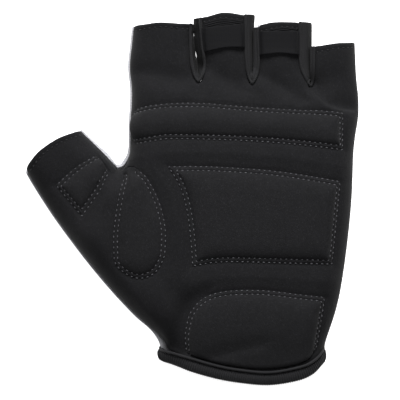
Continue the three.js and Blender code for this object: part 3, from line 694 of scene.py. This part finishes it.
class Patch:
    """The face of a pad that lies on the palm, with its rim and its seam."""

    def __init__(self, node):
        self.obj = pad_patch(node)
        points = points_of(self.obj.data)
        self.rim = rim_of(self.obj.data)
        self.outline = points[self.rim]
        self.seam, self.is_closed = sewn_stretch(node, self.outline)
        self.to_rim, _ = distance_to(points, self.outline, closed=True)
        self.to_seam, _ = distance_to(points, self.seam, closed=self.is_closed)


class Gap:
    """A gap between two fingers: its bead's outer edge and where its walls meet, in plan."""

    def __init__(self, node, palm):
        low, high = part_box(node)
        corner = np.array(low[:2])
        span = np.array(high[:2]) - corner
        rows = np.array(GAPS[node]["rows"])
        self.outer = curved(corner + rows[:, 0] * span, 5)
        self.inner = curved(corner + rows[:, 1] * span, 5)
        self.out = right_of(self.outer)
        self.reach = self.known([self.first_hit(palm, *row) for row in zip(self.outer, self.out)])
        beside = self.outer + self.out * (self.reach + mm(1.0))[:, None]
        self.tops = self.known([self.height(palm, *place) for place in beside])
        self.tops += fold_relief(self.outer)

    def height(self, palm, x, y):
        hit = palm.ray_cast(Vector((x, y, OVERHEAD)), Vector((0, 0, -1)))[0]
        return np.nan if hit is None else hit.z

    def first_hit(self, palm, place, way):
        """How far out from a place of the bead's edge the palm starts."""
        for step in np.arange(-mm(1), mm(4), mm(0.08)):
            if not np.isnan(self.height(palm, *(place + way * step))):
                return step
        return np.nan

    def known(self, values):
        """A row of values with its unknown ones filled in and its jumps smoothed."""
        values = np.array(values)
        found = np.flatnonzero(~np.isnan(values))
        values = np.interp(np.arange(len(values)), found, values[found])
        for _ in range(3):
            values[1:-1] = (values[:-2] + 2 * values[1:-1] + values[2:]) / 4
        return values

    def drawn_in(self, points):
        """Moves points near the gap so that the palm's cut edge meets the bead."""
        plan = points[:, :2]
        spots, along = nearest_on(plan, self.outer)
        places = np.arange(len(self.out))
        ways = np.column_stack([np.interp(along, places, axis) for axis in self.out.T])
        offset = plan - spots
        side = np.where(np.einsum("ij,ij->i", offset, ways) < 0, -1, 1)
        apart = np.linalg.norm(offset, axis=1) * side
        reach = np.interp(along, places, self.reach) + mm(0.3)
        fade = np.clip(1 - (apart - reach) / mm(5), 0, 1)
        wanted = apart - reach * fade**2 * (3 - 2 * fade)
        scale = np.where(np.abs(apart) > mm(0.02), wanted / np.where(apart == 0, 1, apart), 1)
        plan[:] = spots + offset * scale[:, None]
        points[:, 2] -= mm(0.8) * np.exp(-(wanted / mm(0.8)) ** 2)


class Quilt:
    """What the pieces share: the palm's smooth form, the finger gaps and the pads' patches."""

    def __init__(self):
        form = baked(softened("palm_panel", "palm_form", 2))
        self.palm = surface_of(form)
        bpy.data.objects.remove(form)
        self.gaps = {node: Gap(node, self.palm) for node in GAPS}
        self.patches = {node: Patch(node) for node in PADS}

    def drawn_in(self, points):
        for gap in self.gaps.values():
            gap.drawn_in(points)


shared = {}


def quilt():
    if "quilt" not in shared:
        shared["quilt"] = Quilt()
    return shared["quilt"]


def fold_relief(plan):
    """How far the folds raise the palm at plan points."""
    rise = np.zeros(len(plan))
    for fold in FOLDS:
        line = curved([share_point(*point) for point in fold["line"]])
        apart, side = distance_to(plan, line)
        reach = np.where(side > 0, mm(fold["above"]), mm(fold["below"]))
        rise += mm(fold["rise"]) * np.exp(-(apart / reach) ** 2)
    return rise


def seam_relief(plan):
    """How far the pads' seams pull the palm down around them."""
    sizes = bpy.context.scene.glove_sizes
    sunk = np.zeros(len(plan))
    for patch in quilt().patches.values():
        outline = patch.outline[::4, :2]
        apart, _ = distance_to(plan, outline, closed=True)
        to_seam, _ = distance_to(plan, patch.seam[::4, :2], closed=patch.is_closed)
        near = sizes.seam_dip * np.exp(-(to_seam / mm(0.9)) ** 2)
        wide = sizes.seam_pull * np.exp(-(to_seam / mm(5)) ** 2)
        under = sizes.seam_dip + sizes.seam_pull + mm(0.6) * np.clip(apart / mm(1.5), 0, 1)
        sunk = np.maximum(sunk, np.where(is_inside(plan, outline), under, near + wide))
    return -sunk


def hem_relief(plan):
    """How far the turned hems raise the palm at its openings."""
    width = bpy.context.scene.glove_sizes.hem
    rise = np.zeros(len(plan))
    for row in HEMS.values():
        apart, _ = distance_to(plan, curved([share_point(*point) for point in row]))
        ridge = mm(0.22) * np.exp(-((apart - width * 0.5) / (width * 0.36)) ** 2)
        rise += ridge - mm(0.28) * np.exp(-((apart - width) / mm(0.5)) ** 2)
    return rise


# Operators, one for each piece or group of like pieces


class GLOVE_OT_palm(bpy.types.Operator):
    """Makes the suede palm with its folds and the dips of its seams"""

    bl_idname = "glove.palm"
    bl_label = "Palm"

    def execute(self, context):
        sizes = context.scene.glove_sizes
        palm = softened("palm_panel", "palm_suede", 2)
        cells = palm.modifiers.new("Cells", "REMESH")
        cells.mode = "VOXEL"
        cells.voxel_size = sizes.cloth_cell
        baked(palm)
        points = snapped(quilt().palm, points_of(palm.data))
        points = relaxed(points, edges_of(palm.data), np.full(len(points), 0.35), 2)
        plan = points[:, :2]
        points[:, 2] += fold_relief(plan) + seam_relief(plan) + hem_relief(plan)
        quilt().drawn_in(points)
        set_points(palm.data, points)
        shown(palm, "palm suede", "palm_suede", "palm_panel")
        return {"FINISHED"}


class GLOVE_OT_back(bpy.types.Operator):
    """Makes the knit back that the glove lies on"""

    bl_idname = "glove.back"
    bl_label = "Back"

    def execute(self, context):
        back = baked(softened("back_panel", "back_knit", 2))
        shown(back, "back knit", "back_knit", "back_panel")
        return {"FINISHED"}


class GLOVE_OT_pads(bpy.types.Operator):
    """Makes the quilted pads, each rounded down to its double seam"""

    bl_idname = "glove.pads"
    bl_label = "Pads"

    def profile(self, to_rim, to_seam):
        """Height of a pad's suede over the palm at distances in from its rim and from its seam."""
        sizes = bpy.context.scene.glove_sizes
        inner = sizes.row_inset + sizes.row_gap
        rise = np.clip((to_seam - inner) / sizes.pad_shoulder, 0, 1)
        foam = sizes.pad_rise * (1 - (1 - rise) ** 2)
        crown = mm(0.5) * (1 - np.exp(-(to_rim / mm(14)) ** 2))
        rows = np.exp(-((to_seam - sizes.row_inset) / mm(0.55)) ** 2)
        rows += np.exp(-((to_seam - inner) / mm(0.6)) ** 2)
        rows *= np.clip(to_seam / mm(0.1), 0, 1)
        rolled = 1 - (1 - np.clip(to_rim / mm(2.5), 0, 1)) ** 2
        tucked = mm(0.7) * np.exp(-(to_rim / mm(0.22)) ** 2)
        pulled = sizes.seam_pull * np.exp(-(to_seam / mm(3)) ** 2)
        return mm(0.1) + (foam + crown) * np.sqrt(rolled) - pulled - sizes.seam_dip * rows - tucked

    def execute(self, context):
        sizes = context.scene.glove_sizes
        for node, patch in quilt().patches.items():
            patch.obj.name = node + "_quilted"
            points = points_of(patch.obj.data)
            found = [quilt().palm.find_nearest(Vector(point)) for point in points]
            base = np.array([hit for hit, *_ in found])
            patch.normals = np.array([normal for _, normal, *_ in found])
            patch.normals = relaxed(
                patch.normals, edges_of(patch.obj.data), np.full(len(points), 0.5), 40)
            patch.normals /= np.linalg.norm(patch.normals, axis=1)[:, None]
            inside = np.clip(patch.to_rim / mm(1.5), 0, 1) * 0.5
            base = relaxed(base, edges_of(patch.obj.data), inside, 12)
            height = self.profile(patch.to_rim, patch.to_seam)[:, None]
            inner = np.minimum(patch.to_rim, patch.to_seam) - mm(2.6)
            inner = np.clip(inner / mm(3), 0, 1) * 0.5
            height = relaxed(height, edges_of(patch.obj.data), inner, 90)
            patch.top = base + patch.normals * height
            patch.top[:, 2] += fold_relief(points[:, :2])
            thick = mm(0.5) + mm(1.2) * np.clip(patch.to_rim / mm(5), 0, 1)
            patch.insets = (sizes.row_inset, sizes.row_inset + sizes.row_gap)
            patch.lines = [contour(patch.obj.data, patch.to_seam, inset) for inset in patch.insets]
            close_patch(patch.obj, patch.top, patch.top - patch.normals * thick[:, None], patch.rim)
            shown(patch.obj, "pad suede", "pad_suede", node)
        return {"FINISHED"}


def close_patch(obj, top, under, rim):
    """Makes a closed body from an open patch with an upper and a lower face."""
    faces = [list(face.vertices) for face in obj.data.polygons]
    count = len(top)
    turned = [[i + count for i in reversed(face)] for face in faces]
    sides = [[a, b, b + count, a + count] for a, b in zip(rim, rim[1:] + rim[:1])]
    mesh = bpy.data.meshes.new(obj.name)
    mesh.from_pydata(np.vstack([top, under]).tolist(), [], faces + turned + sides)
    bm = bmesh.new()
    bm.from_mesh(mesh)
    bmesh.ops.recalc_face_normals(bm, faces=bm.faces)
    bm.to_mesh(mesh)
    bm.free()
    obj.data = mesh


class GLOVE_OT_fourchettes(bpy.types.Operator):
    """Makes the walls between the fingers, each with its rolled seam"""

    bl_idname = "glove.fourchettes"
    bl_label = "Fourchettes"

    def section(self, width, top, row):
        """A wall's cloth from under the bead to its foot: how far across, how high, how far over."""
        sizes = bpy.context.scene.glove_sizes
        sunk, drop, lean = mm(row["sunk"]), mm(row["drop"]), mm(row["lean"])
        radius = min(sizes.bead / 2, width * 0.3)
        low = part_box("back_panel")[0].z + mm(0.5)
        rows = [(mm(0.3), top - mm(3.0), 0), (0, top - mm(1.6), 0)]
        centre = top + sizes.bead_proud - radius
        for angle in (180, 145, 110, 75, 40, 5):
            turn = math.radians(angle)
            rows.append((radius * (1 + math.cos(turn)), centre + radius * math.sin(turn), 0))
        start = 2 * radius
        rest = width - start
        face = top - sunk
        rows += [
            (start + rest * 0.06, face - mm(0.45), 0),
            (start + rest * 0.25, face, 0),
            (start + rest * 0.55, face - drop * 0.3, 0),
            (start + rest * 0.84, face - drop * 0.7, 0),
            (width, face - drop - mm(0.6), lean * 0.15),
            (width, (face - drop) * 0.8, lean * 0.7),
            (width * 0.95, top * 0.38, lean),
            (width * 0.7, top * 0.15, lean * 0.5),
            (min(mm(1.2), width * 0.5), low, 0),
        ]
        return rows

    def execute(self, context):
        for node, gap in quilt().gaps.items():
            inward = gap.inner - gap.outer
            width = np.linalg.norm(inward, axis=1)
            inward /= width[:, None]
            points = []
            for place, across, wide, top in zip(gap.outer, inward, width, gap.tops):
                for s, z, lean in self.section(wide, top, GAPS[node]):
                    points.append((place[0] + across[0] * s + lean, place[1] + across[1] * s, z))
            count = len(points) // len(gap.outer)
            faces = [
                (a + i, a + i + count, a + i + count + 1, a + i + 1)
                for a in range(0, len(points) - count, count) for i in range(count - 1)
            ]
            mesh = bpy.data.meshes.new(node + "_knit")
            mesh.from_pydata(points, [], faces)
            wall = bpy.data.objects.new(node + "_knit", mesh)
            context.scene.collection.objects.link(wall)
            thickness = wall.modifiers.new("Cloth", "SOLIDIFY")
            thickness.thickness = mm(0.7)
            thickness.offset = -1
            rounding = wall.modifiers.new("Rounding", "SUBSURF")
            rounding.levels = rounding.render_levels = 1
            baked(wall)
            shown(wall, "fourchette knit", "fourchette_knit", node)
        return {"FINISHED"}


class GLOVE_OT_tabs(bpy.types.Operator):
    """Makes the plain pull tabs across two fingers"""

    bl_idname = "glove.tabs"
    bl_label = "Pull tabs"

    def execute(self, context):
        for node in PULL_TABS:
            tab = baked(softened(node, node + "_webbing", 3, crease=0.6))
            points = points_of(tab.data)
            quilt().drawn_in(points)
            set_points(tab.data, points)
            shown(tab, "tab webbing", "tab_webbing", node)
        return {"FINISHED"}


class GLOVE_OT_gathers(bpy.types.Operator):
    """Gathers the suede between each pull tab and its finger's opening"""

    bl_idname = "glove.gathers"
    bl_label = "Gathers"
    count = 4

    def execute(self, context):
        sizes = context.scene.glove_sizes
        tree = surface_of(bpy.data.objects["palm_suede"])
        rows = []
        for finger in GATHERED:
            line = curved([share_point(*point) for point in HEMS[finger]])
            for i in range(self.count):
                offset = sizes.hem + (i + 0.8) * sizes.gather_pitch
                rows.append(dropped(tree, line + right_of(line) * offset))
        gathers = seam_lines("finger_gathers", rows, False)
        run_tree(gathers, cord_tree(), radius=mm(0.3), finish=material("palm suede"))
        shown(gathers, "palm suede", "palm_suede")
        return {"FINISHED"}


class GLOVE_OT_cuff(bpy.types.Operator):
    """Makes the cuff's elastic band, its ribs and the piping over it"""

    bl_idname = "glove.cuff"
    bl_label = "Cuff"
    slices = 72  # of the band, for its middle line
    facets = 16  # of a rib's loop
    reach = mm(6)  # past the band's body from its middle

    def middle(self, points):
        """The line round the middle of the band, a point for each rib."""
        low, high = points.min(axis=0), points.max(axis=0)
        spread = (points - (low + high) / 2) / (high - low)
        turn = np.arctan2(spread[:, 2], spread[:, 0])
        bins = np.digitize(turn, np.linspace(-np.pi, np.pi, self.slices + 1)) - 1
        line = np.array([
            points[bins == i].mean(axis=0) for i in range(self.slices) if np.any(bins == i)])
        for _ in range(2):
            line = (np.roll(line, 1, axis=0) + 2 * line + np.roll(line, -1, axis=0)) / 4
        line = curved(np.vstack([line, line[:1]]))
        run = np.append(0, np.cumsum(np.linalg.norm(np.diff(line, axis=0), axis=1)))
        count = int(run[-1] / bpy.context.scene.glove_sizes.rib_pitch)
        places = np.arange(count) / count * run[-1]
        return np.column_stack([np.interp(places, run, axis) for axis in line.T])

    def rib(self, tree, place, ahead):
        """The loop round the band's body square to its run, or nothing where it isn't whole."""
        along = Vector(ahead).normalized()
        wide = Vector((0, -1, 0))
        wide = (wide - along * wide.dot(along)).normalized()
        high = along.cross(wide)
        centre = Vector(place)
        for way in (wide, high, wide):
            near, far = (tree.ray_cast(centre, way * sign, self.reach)[0] for sign in (-1, 1))
            if near is None or far is None:
                return []
            centre = (near + far) / 2
        turns = np.linspace(0, 2 * np.pi, self.facets + 1)[:-1]
        ways = [wide * math.cos(turn) + high * math.sin(turn) for turn in turns]
        hits = [tree.ray_cast(centre, way, self.reach)[0] for way in ways]
        return [hit for hit in hits if hit is not None]

    def execute(self, context):
        band = baked(softened("cuff_band", "cuff_band_elastic", 3, crease=0.0, rounds=1))
        shown(band, "cuff elastic", "cuff_elastic", "cuff_band")
        piping = baked(softened("cuff_piping", "cuff_piping_cord", 2, crease=0.0, rounds=1))
        points = points_of(piping.data)
        low, high = points[:, 0].min(), points[:, 0].max()
        points[:, 0] -= mm(1.5) * ((2 * points[:, 0] - low - high) / (high - low)) ** 7
        set_points(piping.data, points)
        shown(piping, "cuff elastic", "cuff_elastic", "cuff_piping")
        tree = surface_of(band)
        line = self.middle(points_of(band.data))
        ahead = np.roll(line, -1, axis=0) - np.roll(line, 1, axis=0)
        loops = [self.rib(tree, *row) for row in zip(line, ahead)]
        rows = [(loop, loop) for loop in loops if len(loop) == self.facets]
        ribs = seam_lines("cuff_ribs", rows, True)
        radius = context.scene.glove_sizes.rib_width / 2
        run_tree(ribs, cord_tree(), radius=radius, finish=material("cuff elastic"))
        shown(ribs, "cuff elastic", "cuff_elastic")
        return {"FINISHED"}


class GLOVE_OT_stitches(bpy.types.Operator):
    """Sews the double seams round the pads and the single rows along the hems"""

    bl_idname = "glove.stitches"
    bl_label = "Stitches"

    def execute(self, context):
        sizes = context.scene.glove_sizes
        for node, patch in quilt().patches.items():
            rows = []
            for inset, (line, is_closed) in zip(patch.insets, patch.lines):
                ends = np.array(line)
                values = patch.to_seam[ends]
                share = ((inset - values[:, 0]) / (values[:, 1] - values[:, 0]))[:, None]
                rows.append([
                    field[ends[:, 0]] * (1 - share) + field[ends[:, 1]] * share
                    for field in (patch.top, patch.normals)])
            seam = sewn(node + "_stitches", rows, patch.is_closed, "sewing thread")
            shown(seam, "sewing thread", "pad_suede")
        tree = surface_of(bpy.data.objects["palm_suede"])
        rows = []
        for points in HEMS.values():
            line = curved([share_point(*point) for point in points])
            rows.append(dropped(tree, line + right_of(line) * sizes.hem))
        hems = sewn("hem_stitches", rows, False, "hem thread")
        shown(hems, "hem thread", "palm_suede")
        return {"FINISHED"}


def stitch_mesh(name, length, thick):
    """One stitch: a short arched thread whose ends go into the cloth."""
    steps, sides = 6, 6
    points, faces = [], []
    for i in range(steps + 1):
        share = i / steps
        along = (share - 0.5) * length
        rise = thick * (0.42 - 1.5 * (2 * share - 1) ** 4)
        round_ = thick / 2 * (0.75 + 0.25 * math.sin(math.pi * share))
        for k in range(sides):
            angle = 2 * math.pi * k / sides
            points.append((along, round_ * math.cos(angle), rise + round_ * math.sin(angle)))
    for i in range(steps):
        for k in range(sides):
            a, b = i * sides + k, i * sides + (k + 1) % sides
            faces.append((a, b, b + sides, a + sides))
    faces.append(tuple(reversed(range(sides))))
    faces.append(tuple(range(steps * sides, (steps + 1) * sides)))
    mesh = bpy.data.meshes.new(name)
    mesh.from_pydata(points, [], faces)
    return mesh


class Nodes:
    """A Geometry Nodes tree that is built by calls."""

    def __init__(self, name):
        self.tree = bpy.data.node_groups.new(name, "GeometryNodeTree")
        self.socket("Geometry", "NodeSocketGeometry")
        self.tree.interface.new_socket("Geometry", in_out="OUTPUT", socket_type="NodeSocketGeometry")
        self.start = self.tree.nodes.new("NodeGroupInput")
        self.end = self.tree.nodes.new("NodeGroupOutput")

    def socket(self, name, kind):
        self.tree.interface.new_socket(name, in_out="INPUT", socket_type=kind)

    def add(self, kind, settings=None, **values):
        """A node with its settings, and the values or links of its named sockets."""
        made = self.tree.nodes.new(kind)
        for setting, value in (settings or {}).items():
            setattr(made, setting, value)
        for name, value in values.items():
            socket = next(s for s in made.inputs if s.enabled and s.name == name.replace("_", " "))
            if isinstance(value, bpy.types.NodeSocket):
                self.tree.links.new(value, socket)
            else:
                socket.default_value = value
        return next(s for s in made.outputs if s.enabled)

    def given(self, name):
        return self.start.outputs[name]


def seam_tree():
    """Repeats one small mesh along lines on the cloth and turns each copy to lie on it."""
    found = bpy.data.node_groups.get("Along a seam")
    if found:
        return found
    nodes = Nodes("Along a seam")
    for name, kind in (
        ("Pitch", "NodeSocketFloat"), ("Copy", "NodeSocketObject"), ("Least turn", "NodeSocketFloat"),
        ("Most turn", "NodeSocketFloat"), ("Finish", "NodeSocketMaterial"), ("Seed", "NodeSocketInt"),
    ):
        nodes.socket(name, kind)
    curve = nodes.add("GeometryNodeMeshToCurve", Mesh=nodes.given("Geometry"))
    spaced = nodes.add(
        "GeometryNodeResampleCurve", {"mode": "LENGTH"}, Curve=curve, Length=nodes.given("Pitch"))
    outward = nodes.add("GeometryNodeInputNamedAttribute", {"data_type": "FLOAT_VECTOR"}, Name="outward")
    along = nodes.add("GeometryNodeInputTangent")
    lying = nodes.add(
        "FunctionNodeAxesToRotation", {"primary_axis": "Z", "secondary_axis": "X"},
        Primary_Axis=outward, Secondary_Axis=along)
    sway = nodes.add(
        "FunctionNodeRandomValue", {"data_type": "FLOAT"},
        Min=nodes.given("Least turn"), Max=nodes.given("Most turn"), Seed=nodes.given("Seed"))
    about = nodes.add("ShaderNodeCombineXYZ", Z=sway)
    turned = nodes.add(
        "FunctionNodeRotateRotation", {"rotation_space": "LOCAL"}, Rotation=lying, Rotate_By=about)
    size = nodes.add(
        "FunctionNodeRandomValue", {"data_type": "FLOAT"}, Min=0.88, Max=1.1, Seed=nodes.given("Seed"))
    copy = nodes.add("GeometryNodeObjectInfo", Object=nodes.given("Copy"))
    copy = next(s for s in copy.node.outputs if s.name == "Geometry")
    placed = nodes.add(
        "GeometryNodeInstanceOnPoints", Points=spaced, Instance=copy, Rotation=turned, Scale=size)
    solid = nodes.add("GeometryNodeRealizeInstances", Geometry=placed)
    last = nodes.add("GeometryNodeSetMaterial", Geometry=solid, Material=nodes.given("Finish"))
    nodes.tree.links.new(last, nodes.end.inputs[0])
    return nodes.tree


def cord_tree():
    """Draws a round cord along lines."""
    found = bpy.data.node_groups.get("Cord along lines")
    if found:
        return found
    nodes = Nodes("Cord along lines")
    nodes.socket("Radius", "NodeSocketFloat")
    nodes.socket("Finish", "NodeSocketMaterial")
    curve = nodes.add("GeometryNodeMeshToCurve", Mesh=nodes.given("Geometry"))
    circle = nodes.add("GeometryNodeCurvePrimitiveCircle", Resolution=6, Radius=nodes.given("Radius"))
    cord = nodes.add("GeometryNodeCurveToMesh", Curve=curve, Profile_Curve=circle, Fill_Caps=True)
    solid = nodes.add("GeometryNodeRealizeInstances", Geometry=cord)
    last = nodes.add("GeometryNodeSetMaterial", Geometry=solid, Material=nodes.given("Finish"))
    nodes.tree.links.new(last, nodes.end.inputs[0])
    return nodes.tree


def run_tree(obj, tree, **inputs):
    """Gives an object what a Geometry Nodes tree makes of it, as its own plain mesh."""
    modifier = obj.modifiers.new("Repeats", "NODES")
    modifier.node_group = tree
    for item in tree.interface.items_tree:
        name = item.name.lower().replace(" ", "_")
        if item.in_out == "INPUT" and name in inputs:
            modifier[item.identifier] = inputs[name]
    return baked(obj)


def seam_lines(name, lines, closed):
    """Lines on the cloth as an object of edges that know which way is out."""
    points, outward, edges = [], [], []
    for line, normals in lines:
        start = len(points)
        points += [list(point) for point in line]
        outward += [list(normal) for normal in normals]
        count = len(line)
        edges += [(start + i, start + i + 1) for i in range(count - 1)]
        if closed:
            edges.append((start + count - 1, start))
    mesh = bpy.data.meshes.new(name)
    mesh.from_pydata(points, edges, [])
    layer = mesh.attributes.new("outward", "FLOAT_VECTOR", "POINT")
    layer.data.foreach_set("vector", np.array(outward).ravel())
    made = bpy.data.objects.new(name, mesh)
    bpy.context.scene.collection.objects.link(made)
    return made


def sewn(name, lines, closed, finish):
    """Rows of stitches along lines on the cloth."""
    sizes = bpy.context.scene.glove_sizes
    stitch = stitch_mesh(name + "_one", sizes.stitch_length, sizes.thread)
    copy = bpy.data.objects.new(name + "_one", stitch)
    bpy.context.scene.collection.objects.link(copy)
    rows = seam_lines(name, lines, closed)
    run_tree(
        rows, seam_tree(), pitch=sizes.stitch_pitch, copy=copy, least_turn=-0.12, most_turn=0.12,
        finish=material(finish), seed=sizes.seed)
    bpy.data.objects.remove(copy)
    return rows


# Stage


class GLOVE_OT_stage(bpy.types.Operator):
    """Lays the pale floor, hangs the soft lights and places the camera"""

    bl_idname = "glove.stage"
    bl_label = "Stage"

    def execute(self, context):
        scene = context.scene
        mesh = bpy.data.meshes.new("floor")
        half = 1.6
        corners = [(-half, -half, 0), (half, -half, 0), (half, half, 0), (-half, half, 0)]
        mesh.from_pydata(corners, [], [(0, 1, 2, 3)])
        floor = bpy.data.objects.new("floor", mesh)
        floor.location.z = -mm(0.2)
        scene.collection.objects.link(floor)
        mesh.materials.append(material("paper floor"))
        self.light("window", (0.05, 1.1, 0.75), 0.7, 42)
        self.light("overhead", (0.01, 0.005, 0.2), 0.12, 0.22)
        world = bpy.data.worlds.new("studio")
        scene.world = world
        world.use_nodes = True
        world.node_tree.nodes["Background"].inputs["Color"].default_value = (1, 1, 1, 1)
        world.node_tree.nodes["Background"].inputs["Strength"].default_value = 0.25
        scene.view_settings.view_transform = "Standard"
        self.camera(scene)
        return {"FINISHED"}

    def light(self, name, place, size, power):
        data = bpy.data.lights.new(name, "AREA")
        data.shape = "DISK"
        data.size = size
        data.energy = power
        made = bpy.data.objects.new(name, data)
        made.location = place
        made.rotation_euler = (-Vector(place)).to_track_quat("-Z", "Y").to_euler()
        made.visible_camera = False
        bpy.context.scene.collection.objects.link(made)

    def camera(self, scene):
        """The photograph's view: straight down on the palm, 400 pixels across."""
        pixels = 400
        pixel = mm(0.4548)
        middle = Vector((mm(3.8), mm(-0.85), mm(15)))
        distance = 1.1
        data = bpy.data.cameras.new("camera")
        data.sensor_width = 36
        data.lens = data.sensor_width * distance / (pixels * pixel)
        made = bpy.data.objects.new("camera", data)
        made.location = middle + Vector((0, 0, distance))
        scene.collection.objects.link(made)
        scene.camera = made


class GLOVE_PT_panel(bpy.types.Panel):
    """Lists the glove's pieces in the sidebar"""

    bl_idname = "GLOVE_PT_panel"
    bl_label = "Glove"
    bl_space_type = "VIEW_3D"
    bl_region_type = "UI"
    bl_category = "Glove"

    def draw(self, context):
        for operator in OPERATORS:
            self.layout.operator(operator.bl_idname)
        for group in (context.scene.glove_sizes, context.scene.glove_colours):
            for name in group.__annotations__:
                self.layout.prop(group, name)


OPERATORS = (
    GLOVE_OT_palm, GLOVE_OT_back, GLOVE_OT_pads, GLOVE_OT_fourchettes, GLOVE_OT_tabs,
    GLOVE_OT_gathers, GLOVE_OT_cuff, GLOVE_OT_stitches, GLOVE_OT_stage,
)
CLASSES = (GloveSizes, GloveColours, *OPERATORS, GLOVE_PT_panel)


def register():
    for entry in CLASSES:
        bpy.utils.register_class(entry)
    bpy.types.Scene.glove_sizes = PointerProperty(type=GloveSizes)
    bpy.types.Scene.glove_colours = PointerProperty(type=GloveColours)


def unregister():
    del bpy.types.Scene.glove_colours
    del bpy.types.Scene.glove_sizes
    for entry in reversed(CLASSES):
        bpy.utils.unregister_class(entry)


def main():
    register()
    for operator in OPERATORS:
        group, name = operator.bl_idname.split(".")
        getattr(getattr(bpy.ops, group), name)()


if __name__ == "__main__":
    main()
